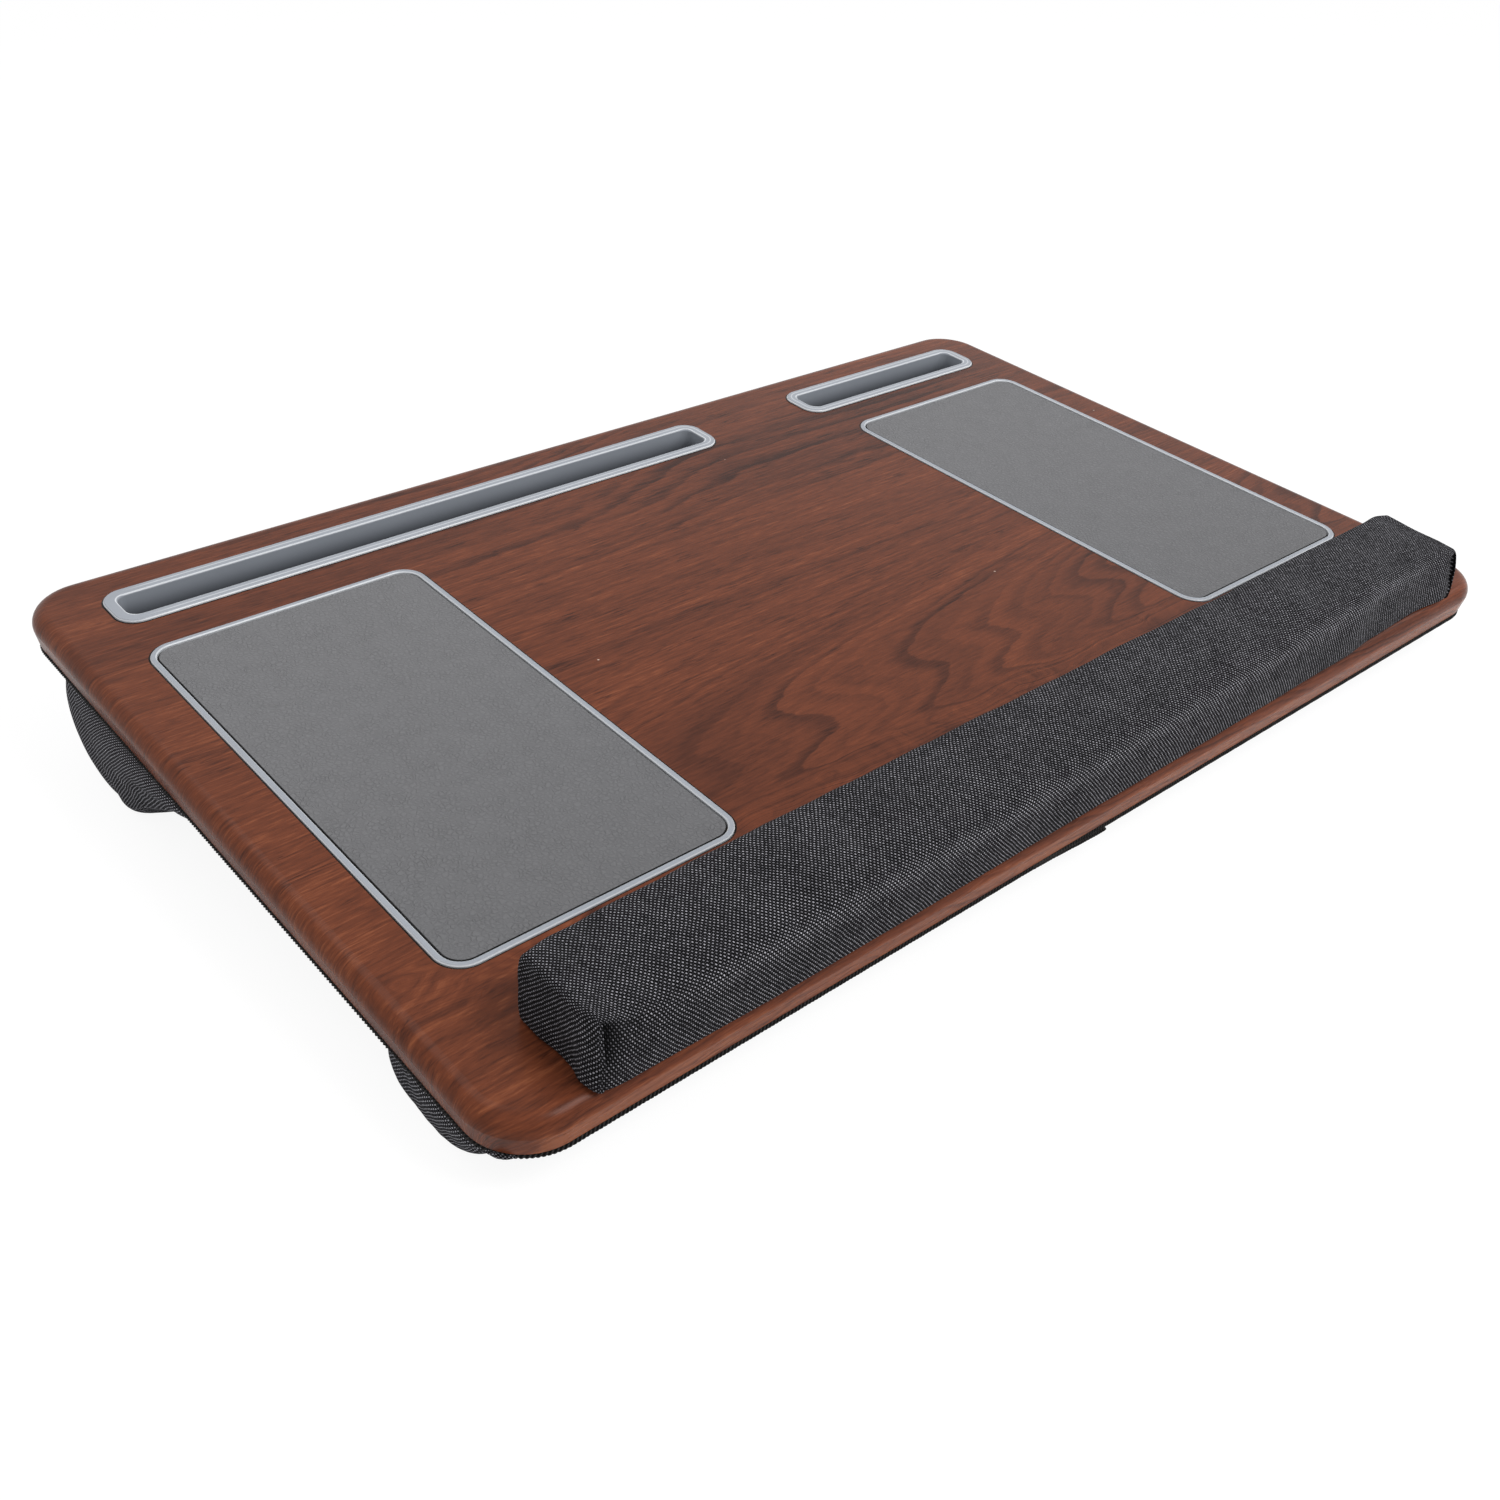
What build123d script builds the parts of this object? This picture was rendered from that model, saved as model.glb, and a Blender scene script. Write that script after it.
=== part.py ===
from build123d import *
import os
from math import atan2, cos, degrees, radians, sin, tan

# Lap tray with a cushioned underside, in millimetres.
# Every piece is first made in the board's own frame: X to the right, Y to the back and
# Z up from the middle of the board's top face. The tray is then tipped up at the back,
# as its two bolsters hold it, and set down on their flats.

# Board: a fibreboard core whose top and edges are wrapped in a printed film
board_width = 603.0
board_depth = 384.0
board_thickness = 15.4
board_corner_radius = 25.0
edge_round_radius = 7.0
edge_land = 0.3
edge_undercut = 1.4
film_thickness = 0.4

# Pads let into the board, one at each side: frame, leather top and backing sheet
pad_frame_width = 130.6
pad_frame_corner_radius = 11.5
pad_frame_wall = 2.6
pad_frame_stand = 0.8
pad_frame_edge_chamfer = 0.5
pad_frame_clearance = 0.3
pad_side_margin = 26.5
pad_front_margin = 70.6
pad_trough_gap = 21.8
pad_leather_thickness = 1.2
pad_leather_stand = 0.1
pad_leather_gap = 0.5
pad_leather_edge_chamfer = 0.3
pad_backing_thickness = 1.2

# Moulded troughs that hold a tablet and a telephone upright
trough_rim_depth = 29.8
trough_rim_corner_radius = 10.0
trough_rim_thickness = 1.2
trough_rim_edge_chamfer = 0.6
trough_lip_width = 5.7
trough_mouth_edge_radius = 1.0
trough_mouth_corner_radius = 5.5
trough_wall = 1.6
trough_floor = 1.5
trough_floor_chamfer = 0.9
trough_heel_chamfer = 1.5
trough_draft_angle = 1.5
trough_side_clearance = 0.4
trough_underside_gap = 1.6
trough_back_margin = 21.6
tablet_trough_left_margin = 28.6
trough_spacing = 69.6
phone_trough_length = 141.7
phone_trough_right_margin = 25.2

# Wrist rest: a foam bar in a woven cover, stuck down along the front edge
rest_left_margin = 34.0
rest_right_margin = 40.0
rest_depth = 46.5
rest_height = 27.5
rest_crown = 1.8
rest_side_bulge = 1.0
rest_front_corner_radius = 3.5
rest_back_corner_radius = 6.0
rest_end_corner_radius = 4.0
rest_end_draw_in = 1.8
rest_front_inset = 0.8
rest_cover_thickness = 1.0
rest_turn_under = 8.0
rest_foam_clearance = 0.3
rest_tape_clearance = 0.5

# Base fabric glued under the board, with a corded edge whose ends lap near the middle
fabric_thickness = 1.0
piping_diameter = 2.6
piping_sides = 8
piping_outset = 0.6
piping_seat_gap = 0.05
piping_fabric_gap = 0.1
piping_lap_left = 54.0
piping_lap_right = 8.0
piping_lap_drop = 2.2

# Bolsters: two stuffed cushions across the underside, the rear one deeper
bolster_end_radius = 7.0
bolster_corner_draw_in = 6.5
bolster_piping_gap = 0.3
bolster_cover_thickness = 1.0
bolster_filling_clearance = 0.3
bolster_flat_depth = 0.5
rear_bolster_depth = 137.8
rear_bolster_back_margin = 34.0
rear_bolster_drop = 48.6
front_bolster_depth = 75.5
front_bolster_front_margin = 7.8
front_bolster_drop = 22.4

# A bolster's section as shares of its depth from the front and of its drop, from its
# top back corner round under it to its top front corner
top_back_shares = (0.96, 0.0)
back_bulge_shares = (1.0, 0.45)
heel_shares = (0.89, 0.88)
lowest_shares = (0.72, 1.0)
ramp_foot_shares = (0.49, 0.85)
ramp_middle_shares = (0.27, 0.475)
top_front_shares = (0.0, 0.0)

# How much of the full drop is left at the very end of a bolster
bolster_end_drop_share = 0.8
bolster_end_steps = 3

# Places that follow from the sizes
pocket_depth = pad_leather_thickness + pad_backing_thickness - pad_leather_stand
pad_frame_depth = (board_depth - pad_front_margin - pad_trough_gap
                   - trough_rim_depth - trough_back_margin)
pad_x = board_width / 2 - pad_side_margin - pad_frame_width / 2
pad_y = -board_depth / 2 + pad_front_margin + pad_frame_depth / 2
trough_y = board_depth / 2 - trough_back_margin - trough_rim_depth / 2
tablet_trough_length = (board_width - tablet_trough_left_margin - trough_spacing
                        - phone_trough_length - phone_trough_right_margin)
tablet_trough_x = -board_width / 2 + tablet_trough_left_margin + tablet_trough_length / 2
phone_trough_x = board_width / 2 - phone_trough_right_margin - phone_trough_length / 2
trough_bottom = -board_thickness + trough_underside_gap
trough_floor_top = trough_bottom + trough_floor
rest_length = board_width - rest_left_margin - rest_right_margin
rest_x = (rest_left_margin - rest_right_margin) / 2
rest_front = -board_depth / 2 + rest_front_inset
fabric_underside = -board_thickness - fabric_thickness
rear_bolster_front = board_depth / 2 - rear_bolster_back_margin - rear_bolster_depth
front_bolster_front = -board_depth / 2 + front_bolster_front_margin
rear_lowest_y = rear_bolster_front + lowest_shares[0] * rear_bolster_depth
front_lowest_y = front_bolster_front + lowest_shares[0] * front_bolster_depth
tilt = degrees(atan2(rear_bolster_drop - front_bolster_drop, rear_lowest_y - front_lowest_y))


# Board

def board_body(shrink):
    """Rounded top edge, a short upright land, then sides that lean in to the underside."""
    shoulder = -edge_round_radius - edge_land
    width = board_width - 2 * shrink
    depth = board_depth - 2 * shrink
    corner = board_corner_radius - shrink
    rim = RectangleRounded(width, depth, corner)
    foot_width = width - 2 * edge_undercut
    foot_depth = depth - 2 * edge_undercut
    foot = RectangleRounded(foot_width, foot_depth, corner - edge_undercut)
    upper = Pos(0, 0, shoulder) * extrude(rim, amount=-shrink - shoulder)
    top_face = upper.faces().sort_by(Axis.Z)[-1]
    upper = fillet(top_face.edges(), edge_round_radius - shrink)
    lower = loft([Pos(0, 0, -board_thickness) * foot, Pos(0, 0, shoulder) * rim], ruled=True)
    return upper + lower


def pad_outline(side, shrink):
    """The outline of a pad's frame, drawn in on every side by shrink."""
    width = pad_frame_width - 2 * shrink
    depth = pad_frame_depth - 2 * shrink
    corner = pad_frame_corner_radius - shrink
    return Pos(side * pad_x, pad_y, 0) * RectangleRounded(width, depth, corner)


def slab(outline, bottom, top):
    """A flat sheet or block of the given outline between two heights."""
    return Pos(0, 0, bottom) * extrude(outline, amount=top - bottom)


def mouth_outline(length, grow):
    """The outline of a trough's mouth, let out on every side by grow."""
    mouth_length = length - 2 * trough_lip_width + 2 * grow
    mouth_depth = trough_rim_depth - 2 * trough_lip_width + 2 * grow
    return RectangleRounded(mouth_length, mouth_depth, trough_mouth_corner_radius + grow)


def board_cuts():
    """Shallow pockets for the pads and slots right through the board for the troughs."""
    pocket = slab(pad_outline(-1, -pad_frame_clearance), -pocket_depth, pad_frame_stand)
    pocket += slab(pad_outline(1, -pad_frame_clearance), -pocket_depth, pad_frame_stand)
    cuts = [pocket]
    grow = trough_wall + trough_side_clearance
    for length, x in ((tablet_trough_length, tablet_trough_x), (phone_trough_length, phone_trough_x)):
        slot = slab(mouth_outline(length, grow), -board_thickness - fabric_thickness, trough_rim_thickness)
        cuts.append(Pos(x, trough_y, 0) * slot)
    return cuts


def make_board():
    """The core and the film that wraps its top and sides, both cut for the pads and troughs."""
    core = board_body(film_thickness)
    film = board_body(0) - core
    for cut in board_cuts():
        core -= cut
        film -= cut
    return core, film


# Pads

def make_pad(side):
    """Frame, leather top and backing sheet of one pad, seated on its pocket's floor."""
    frame = slab(pad_outline(side, 0), -pocket_depth, pad_frame_stand)
    frame -= slab(pad_outline(side, pad_frame_wall), -pocket_depth, pad_frame_stand)
    rims = frame.faces().sort_by(Axis.Z)[-1].edges()
    frame = chamfer(rims, pad_frame_edge_chamfer)
    sheet_outline = pad_outline(side, pad_frame_wall + pad_leather_gap)
    leather_bottom = pad_leather_stand - pad_leather_thickness
    leather = slab(sheet_outline, leather_bottom, pad_leather_stand)
    leather = chamfer(leather.faces().sort_by(Axis.Z)[-1].edges(), pad_leather_edge_chamfer)
    backing = slab(sheet_outline, -pocket_depth, leather_bottom)
    return frame, leather, backing


# Troughs

def drafted_block(length, grow, bottom, top):
    """A block with the trough's mouth outline at its top, drawn in downwards by the draft."""
    draw_in = (top - bottom) * tan(radians(trough_draft_angle))
    upper = Pos(0, 0, top) * mouth_outline(length, grow)
    lower = Pos(0, 0, bottom) * mouth_outline(length, grow - draw_in)
    return loft([lower, upper], ruled=True)


def make_trough(length, x):
    """One moulding: a raised rim that hangs on the board, drafted walls and a bevelled floor."""
    rim = slab(RectangleRounded(length, trough_rim_depth, trough_rim_corner_radius), 0, trough_rim_thickness)
    body = drafted_block(length, trough_wall, trough_bottom, 0)
    body = chamfer(body.faces().sort_by(Axis.Z)[0].edges(), trough_heel_chamfer)
    cavity = drafted_block(length, 0, trough_floor_top, trough_rim_thickness)
    cavity = chamfer(cavity.faces().sort_by(Axis.Z)[0].edges(), trough_floor_chamfer)
    trough = rim + body - cavity
    top_face = trough.faces().sort_by(Axis.Z)[-1]
    outer_edges = top_face.outer_wire().edges()
    trough = chamfer(outer_edges, trough_rim_edge_chamfer)
    top_face = trough.faces().sort_by(Axis.Z)[-1]
    mouth_edges = top_face.inner_wires()[0].edges()
    trough = fillet(mouth_edges, trough_mouth_edge_radius)
    return Pos(x, trough_y, 0) * trough


# Wrist rest

def rest_section(x, shrink, bottom):
    """The bar's section at x: flat below, bulging sides, rounded shoulders and a crowned top."""
    front = rest_front + shrink
    back = rest_front + rest_depth - shrink
    top = rest_height - shrink
    middle_z = (bottom + top) / 2
    front_round = rest_front_corner_radius
    back_round = rest_back_corner_radius
    at_45 = 1 - cos(radians(45))
    outline = [
        Line((x, back, bottom), (x, front, bottom)),
        ThreePointArc((x, front, bottom), (x, front - rest_side_bulge, middle_z),
                      (x, front, top - front_round)),
        ThreePointArc((x, front, top - front_round),
                      (x, front + front_round * at_45, top - front_round * at_45),
                      (x, front + front_round, top)),
        ThreePointArc((x, front + front_round, top), (x, (front + back) / 2, top + rest_crown),
                      (x, back - back_round, top)),
        ThreePointArc((x, back - back_round, top),
                      (x, back - back_round * at_45, top - back_round * at_45),
                      (x, back, top - back_round)),
        ThreePointArc((x, back, top - back_round), (x, back + rest_side_bulge, middle_z),
                      (x, back, bottom)),
    ]
    return make_face(Wire(outline))


def rest_body(shrink, bottom):
    """The bar between its two ends, which round over at the rim and are drawn in between."""
    steps = [radians(angle) for angle in (0, 30, 60, 90)]
    half = rest_length / 2 - shrink
    radius = rest_end_corner_radius
    stations = [(-half + radius * (1 - cos(step)), shrink + radius * (1 - sin(step))) for step in steps]
    stations += [(-x, inset) for x, inset in reversed(stations)]
    body = loft([rest_section(x, inset, bottom) for x, inset in stations], ruled=True)
    hollow_radius = (rest_depth ** 2 / 4 + rest_end_draw_in ** 2) / (2 * rest_end_draw_in)
    rest_middle_y = rest_front + rest_depth / 2
    height = 2 * rest_height
    for side in (-1, 1):
        hollow_x = side * (rest_length / 2 - rest_end_draw_in + hollow_radius)
        hollow = Cylinder(hollow_radius + shrink, height, align=(Align.CENTER, Align.CENTER, Align.MIN))
        body -= Pos(hollow_x, rest_middle_y, -rest_height / 2) * hollow
    return Pos(rest_x, 0, 0) * body


def rest_window(shrink):
    """The rectangle left open where the cover is turned under the bar."""
    length = rest_length - 2 * rest_turn_under - 2 * shrink
    depth = rest_depth - 2 * rest_turn_under - 2 * shrink
    return Pos(rest_x, rest_front + rest_depth / 2, 0) * Rectangle(length, depth)


def make_rest():
    """Woven cover, foam bar and the adhesive tape that fills the cover's window."""
    cover = rest_body(0, 0) - rest_body(rest_cover_thickness, rest_cover_thickness)
    cover -= slab(rest_window(0), 0, rest_cover_thickness)
    foam = rest_body(rest_cover_thickness + rest_foam_clearance, rest_cover_thickness)
    tape = slab(rest_window(rest_tape_clearance), 0, rest_cover_thickness)
    return cover, foam, tape


# Base fabric and its corded edge

def inset_outline(inset):
    """The outline of the board's underside, drawn in on every side by inset."""
    shrink = edge_undercut + inset
    width = board_width - 2 * shrink
    depth = board_depth - 2 * shrink
    return RectangleRounded(width, depth, board_corner_radius - shrink)


def make_base_fabric():
    """One sheet under the whole board, inside the corded edge."""
    outline = inset_outline(piping_diameter - piping_outset + piping_fabric_gap)
    return slab(outline, fabric_underside, -board_thickness)


def piping_section(origin, direction):
    """The cord's section: a polygon with a flat side up, as wide as the cord."""
    half_turn = 180 / piping_sides
    outline = RegularPolygon(piping_diameter / 2, piping_sides, major_radius=False, rotation=half_turn)
    return Plane(origin=origin, z_dir=direction) * outline


def make_piping():
    """A cord all round the underside; its free end laps under its start and droops."""
    path_inset = piping_diameter / 2 - piping_outset
    cord_z = -board_thickness - piping_seat_gap - piping_diameter / 2
    path = Pos(0, 0, cord_z) * inset_outline(path_inset).wire()
    ring = sweep(piping_section(path @ 0, path % 0), path=path)
    front_y = -board_depth / 2 + edge_undercut + path_inset
    lap_start = Vector(-piping_lap_left, front_y, cord_z)
    lap_end = Vector(-piping_lap_right, front_y, cord_z - piping_lap_drop)
    lap_line = Line(lap_start, lap_end)
    lap = sweep(piping_section(lap_start, lap_end - lap_start), path=lap_line)
    return ring + lap


# Bolsters

def bolster_section(x, front, depth, drop):
    """A bolster's section at x: steep back, round bottom and a long ramp to the front."""
    def place(shares):
        return (x, front + shares[0] * depth, fabric_underside - shares[1] * drop)

    outline = [
        ThreePointArc(place(top_back_shares), place(back_bulge_shares), place(heel_shares)),
        ThreePointArc(place(heel_shares), place(lowest_shares), place(ramp_foot_shares)),
        ThreePointArc(place(ramp_foot_shares), place(ramp_middle_shares), place(top_front_shares)),
        Line(place(top_front_shares), place(top_back_shares)),
    ]
    return make_face(Wire(outline))


def bolster_body(front, depth, drop, shrink):
    """A bolster that fills the base inside the piping; its ends round up and draw in."""
    edge_inset = piping_diameter - piping_outset + bolster_piping_gap + shrink
    half = board_width / 2 - edge_undercut - edge_inset
    stations = []
    for step in range(bolster_end_steps + 1):
        turn = radians(90) * step / bolster_end_steps
        rise = 1 - sin(turn)
        x = -half + bolster_end_radius * (1 - cos(turn))
        inset = shrink + bolster_corner_draw_in * rise
        full_drop = drop * (1 - (1 - bolster_end_drop_share) * rise) - shrink
        stations.append((x, inset, full_drop))
    stations += [(-x, inset, full_drop) for x, inset, full_drop in reversed(stations)]
    sections = [bolster_section(x, front + inset, depth - 2 * inset, full_drop)
                for x, inset, full_drop in stations]
    plan = slab(inset_outline(edge_inset), fabric_underside - drop - fabric_thickness, fabric_underside)
    return loft(sections, ruled=True) & plan


def make_bolster(front, depth, drop):
    """Sewn cover, open where it meets the base fabric, and the filling inside it."""
    cover = bolster_body(front, depth, drop, 0)
    cover -= bolster_body(front, depth, drop, bolster_cover_thickness)
    filling = bolster_body(front, depth, drop, bolster_cover_thickness + bolster_filling_clearance)
    return cover, filling


# All pieces in the board's frame
pieces = {}
pieces["board_core"], pieces["wood_film"] = make_board()
for name, side in (("left", -1), ("right", 1)):
    frame, leather, backing = make_pad(side)
    pieces[name + "_pad_frame"] = frame
    pieces[name + "_pad_leather"] = leather
    pieces[name + "_pad_backing"] = backing
pieces["tablet_trough"] = make_trough(tablet_trough_length, tablet_trough_x)
pieces["phone_trough"] = make_trough(phone_trough_length, phone_trough_x)
pieces["wrist_rest_cover"], pieces["wrist_rest_foam"], pieces["wrist_rest_tape"] = make_rest()
pieces["base_fabric"] = make_base_fabric()
pieces["edge_piping"] = make_piping()
cover, filling = make_bolster(rear_bolster_front, rear_bolster_depth, rear_bolster_drop)
pieces["rear_bolster_cover"] = cover
pieces["rear_bolster_filling"] = filling
cover, filling = make_bolster(front_bolster_front, front_bolster_depth, front_bolster_drop)
pieces["front_bolster_cover"] = cover
pieces["front_bolster_filling"] = filling

# Tip the tray up at the back and press both bolsters flat where they stand
tipped = {name: Rot(X=tilt) * piece for name, piece in pieces.items()}
bolster_covers = ("rear_bolster_cover", "front_bolster_cover")
lowest = [tipped[name].bounding_box().min.Z for name in bolster_covers]
floor = max(lowest) + bolster_flat_depth
for name in bolster_covers:
    tipped[name] = split(tipped[name], bisect_by=Plane.XY.offset(floor), keep=Keep.TOP)

# Set the origin on the floor, in the middle of the tray
boxes = [piece.bounding_box() for piece in tipped.values()]
middle_x = (min(box.min.X for box in boxes) + max(box.max.X for box in boxes)) / 2
middle_y = (min(box.min.Y for box in boxes) + max(box.max.Y for box in boxes)) / 2
set_down = Pos(-middle_x, -middle_y, -floor)
os.makedirs("parts", exist_ok=True)
for name, piece in tipped.items():
    export_step(set_down * piece, "parts/" + name + ".step")
print("tilt of the board", round(tilt, 3), "degrees")
print("middle of the board's top face at y", round(-middle_y, 3), "z", round(-floor, 3))
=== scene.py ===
# %% [markdown]
# # A lap tray with a cushioned underside
# The tray is a wood-effect board that slopes up to the back. Two grey leather pads and two
# moulded troughs are let into it, a padded wrist rest lies along its front edge, and two
# stuffed bolsters carry it underneath. This lesson loads the finished CAD solids, gives each
# one its real surface, and models what a solid can't show: woven cloth, stuffing and cord.

# %% Load the frame
from math import atan2, cos, degrees, pi, radians, sin, sqrt

import bmesh
import bpy
import numpy as np
from mathutils import Matrix, Quaternion, Vector, noise


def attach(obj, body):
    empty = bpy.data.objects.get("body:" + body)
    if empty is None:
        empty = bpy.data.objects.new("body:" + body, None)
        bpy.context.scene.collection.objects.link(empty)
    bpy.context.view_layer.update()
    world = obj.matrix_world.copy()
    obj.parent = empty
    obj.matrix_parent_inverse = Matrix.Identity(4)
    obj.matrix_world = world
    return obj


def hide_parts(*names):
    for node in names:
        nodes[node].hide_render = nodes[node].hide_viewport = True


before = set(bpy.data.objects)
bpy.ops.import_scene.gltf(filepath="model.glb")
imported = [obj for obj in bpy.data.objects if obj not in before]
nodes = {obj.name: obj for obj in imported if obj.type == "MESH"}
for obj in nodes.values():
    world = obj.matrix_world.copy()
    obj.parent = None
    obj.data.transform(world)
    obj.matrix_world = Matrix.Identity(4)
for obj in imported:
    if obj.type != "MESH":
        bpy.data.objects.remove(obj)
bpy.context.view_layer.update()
MM = 0.001
bpy.context.scene.view_settings.view_transform = "Standard"

# %% [markdown]
# ## The board's own axes
# The board is tilted, and everything on it is easiest to describe along the board itself:
# X to the right, Y to the back, Z up from the wood. The film's largest upward face gives the
# tilt, and the middle of its outline gives the origin, so nothing is typed in twice.

# %% Find the board's axes
UPWARD_WITHIN = radians(15)
FLAT_WITHIN = radians(3)


def mean_normal(faces):
    """The direction that faces look in, weighed by their area."""
    return sum((face.normal * face.area for face in faces), Vector()).normalized()


top_faces = [face for face in nodes["wood_film"].data.polygons if face.normal.z > cos(UPWARD_WITHIN)]
top_normal = mean_normal(top_faces)
top_normal = mean_normal([face for face in top_faces if face.normal.angle(top_normal) < FLAT_WITHIN])
BOARD_TILT = atan2(-top_normal.y, top_normal.z)


def unrotated_corners(node):
    """A node's lowest and highest corner once the board's tilt is taken out of it."""
    turn = Matrix.Rotation(-BOARD_TILT, 3, "X")
    points = np.array([turn @ vertex.co for vertex in nodes[node].data.vertices])
    return points.min(0), points.max(0)


film_low, film_high = unrotated_corners("wood_film")
level_origin = Vector(((film_low[0] + film_high[0]) / 2, (film_low[1] + film_high[1]) / 2, film_high[2]))
BOARD_ORIGIN = Matrix.Rotation(BOARD_TILT, 3, "X") @ level_origin
BOARD_TO_WORLD = Matrix.Translation(BOARD_ORIGIN) @ Matrix.Rotation(BOARD_TILT, 4, "X") @ Matrix.Scale(MM, 4)
BOARD_WIDTH, BOARD_DEPTH = (film_high[:2] - film_low[:2]) / MM
BOARD_THICKNESS = (film_high[2] - film_low[2]) / MM


def board_box(node):
    """A node's lowest and highest corner along the board's own axes, in millimetres."""
    low, high = unrotated_corners(node)
    return (low - np.array(level_origin)) / MM, (high - np.array(level_origin)) / MM


print("board tilt", round(degrees(BOARD_TILT), 3), "size", round(BOARD_WIDTH, 1), round(BOARD_DEPTH, 1),
      round(BOARD_THICKNESS, 1))

# %% [markdown]
# ## The camera
# The photograph was taken from the front left, looking down. The camera's place, direction
# and lens were fitted to the board's straight edges, so the render lies over the photograph.

# %% Camera
def add_object(name, data):
    """Puts a camera, lamp or mesh into the scene."""
    made = bpy.data.objects.new(name, data)
    bpy.context.scene.collection.objects.link(made)
    return made


CAMERA_PLACE = Vector((-0.46278, -0.48290, 0.37550))
CAMERA_AZIMUTH = radians(41.390)
CAMERA_DROP = radians(31.904)
CAMERA_ROLL = radians(0.265)
CAMERA_LENS = 37.184
CAMERA_SENSOR = 36.0

camera_data = bpy.data.cameras.new("camera")
camera_data.lens = CAMERA_LENS
camera_data.sensor_width = CAMERA_SENSOR
camera = add_object("camera", camera_data)
looks_along = Vector((sin(CAMERA_AZIMUTH) * cos(CAMERA_DROP), cos(CAMERA_AZIMUTH) * cos(CAMERA_DROP),
                      -sin(CAMERA_DROP)))
camera.location = CAMERA_PLACE
camera.rotation_mode = "QUATERNION"
camera.rotation_quaternion = looks_along.to_track_quat("-Z", "Y") @ Quaternion((0, 0, 1), CAMERA_ROLL)
bpy.context.scene.camera = camera
print("camera looks along", [round(v, 3) for v in looks_along])

# %% [markdown]
# ## Shader wires
# A procedural finish is a sum of many small patterns. Writing each Math node by hand hides
# the idea, so a Wire stands for one socket, and adding or multiplying wires adds the node.

# %% Wires and node helpers
def srgb(red, green, blue):
    """A colour read off a screen, from 0 to 255, as the linear colour that a shader takes."""
    def linear(value):
        share = value / 255
        return share / 12.92 if share <= 0.04045 else ((share + 0.055) / 1.055) ** 2.4
    return (linear(red), linear(green), linear(blue), 1.0)


def feed(tree, socket, value):
    """Sets a socket to a number or colour, or links it to a wire or another socket."""
    if isinstance(value, Wire):
        value = value.socket
    if isinstance(value, bpy.types.NodeSocket):
        tree.links.new(value, socket)
    else:
        socket.default_value = value


def add_node(tree, kind, inputs=None, **settings):
    """Adds one shader node with its settings and its inputs by name or number."""
    made = tree.nodes.new("ShaderNode" + kind)
    for name, value in settings.items():
        setattr(made, name, value)
    for name, value in (inputs or {}).items():
        feed(tree, made.inputs[name], value)
    return made


class Wire:
    """A number that varies over the surface."""

    def __init__(self, tree, socket):
        self.tree = tree
        self.socket = socket

    def math(self, operation, *others, clamp=False):
        inputs = dict(enumerate((self, *others)))
        made = add_node(self.tree, "Math", inputs, operation=operation, use_clamp=clamp)
        return Wire(self.tree, made.outputs[0])

    def __add__(self, other):
        return self.math("ADD", other)

    def __sub__(self, other):
        return self.math("SUBTRACT", other)

    def __rsub__(self, other):
        return (self * -1.0) + other

    def __mul__(self, other):
        return self.math("MULTIPLY", other)

    def __truediv__(self, other):
        return self.math("DIVIDE", other)

    __radd__ = __add__
    __rmul__ = __mul__

    def step(self, low, high, to_low=0.0, to_high=1.0):
        """Goes smoothly from to_low at low to to_high at high."""
        made = add_node(self.tree, "MapRange", interpolation_type="SMOOTHSTEP", inputs={
            "Value": self, "From Min": low, "From Max": high, "To Min": to_low, "To Max": to_high})
        return Wire(self.tree, made.outputs["Result"])


def xyz(x, y, z=0.0):
    """A vector socket from a wire and two more wires or numbers."""
    return add_node(x.tree, "CombineXYZ", {"X": x, "Y": y, "Z": z}).outputs[0]


def cloud(x, y, z=0.0, detail=2.0, roughness=0.5):
    """Soft noise from about -1 to 1. Its features are about as large as one unit of x and y."""
    made = add_node(x.tree, "TexNoise", {"Vector": xyz(x, y, z), "Scale": 1.0, "Detail": detail,
                                         "Roughness": roughness})
    return Wire(x.tree, made.outputs[0]) * 2.0 - 1.0


def blend(share, first, second):
    """The first colour where share is 0 and the second where it is 1."""
    made = add_node(share.tree, "Mix", {0: share, 6: first, 7: second}, data_type="RGBA", clamp_factor=True)
    return made.outputs[2]


def board_place(tree):
    """Where a point lies along the board's own axes, in millimetres, as three wires."""
    coordinates = add_node(tree, "TexCoord").outputs["Object"]
    placed = add_node(tree, "Mapping", {"Vector": coordinates, "Location": BOARD_ORIGIN,
                                        "Rotation": (BOARD_TILT, 0.0, 0.0), "Scale": (MM, MM, MM)},
                      vector_type="TEXTURE")
    parts = add_node(tree, "SeparateXYZ", {"Vector": placed.outputs[0]})
    return [Wire(tree, socket) for socket in parts.outputs]


def empty_tree(owner):
    """The cleared node tree of a material or world."""
    owner.use_nodes = True
    owner.node_tree.nodes.clear()
    return owner.node_tree


def new_finish(name):
    """An empty material and its node tree."""
    material = bpy.data.materials.new(name)
    return material, empty_tree(material)


def surface(tree, colour, roughness, specular, height, depth_mm):
    """Draws a finish, raised by height, from 0 to 1, times a depth in millimetres."""
    bump = add_node(tree, "Bump", {"Height": height, "Distance": depth_mm * MM, "Strength": 1.0})
    shader = add_node(tree, "BsdfPrincipled", {
        "Base Color": colour, "Roughness": roughness, "Specular IOR Level": specular,
        "Normal": bump.outputs[0]})
    add_node(tree, "OutputMaterial", {"Surface": shader.outputs["BSDF"]})


def put_on(material, *names):
    """Gives CAD nodes one finish."""
    for name in names:
        mesh = nodes[name].data
        mesh.materials.clear()
        mesh.materials.append(material)
    print(material.name, "on", ", ".join(names))


print("shader helpers are ready")

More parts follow.
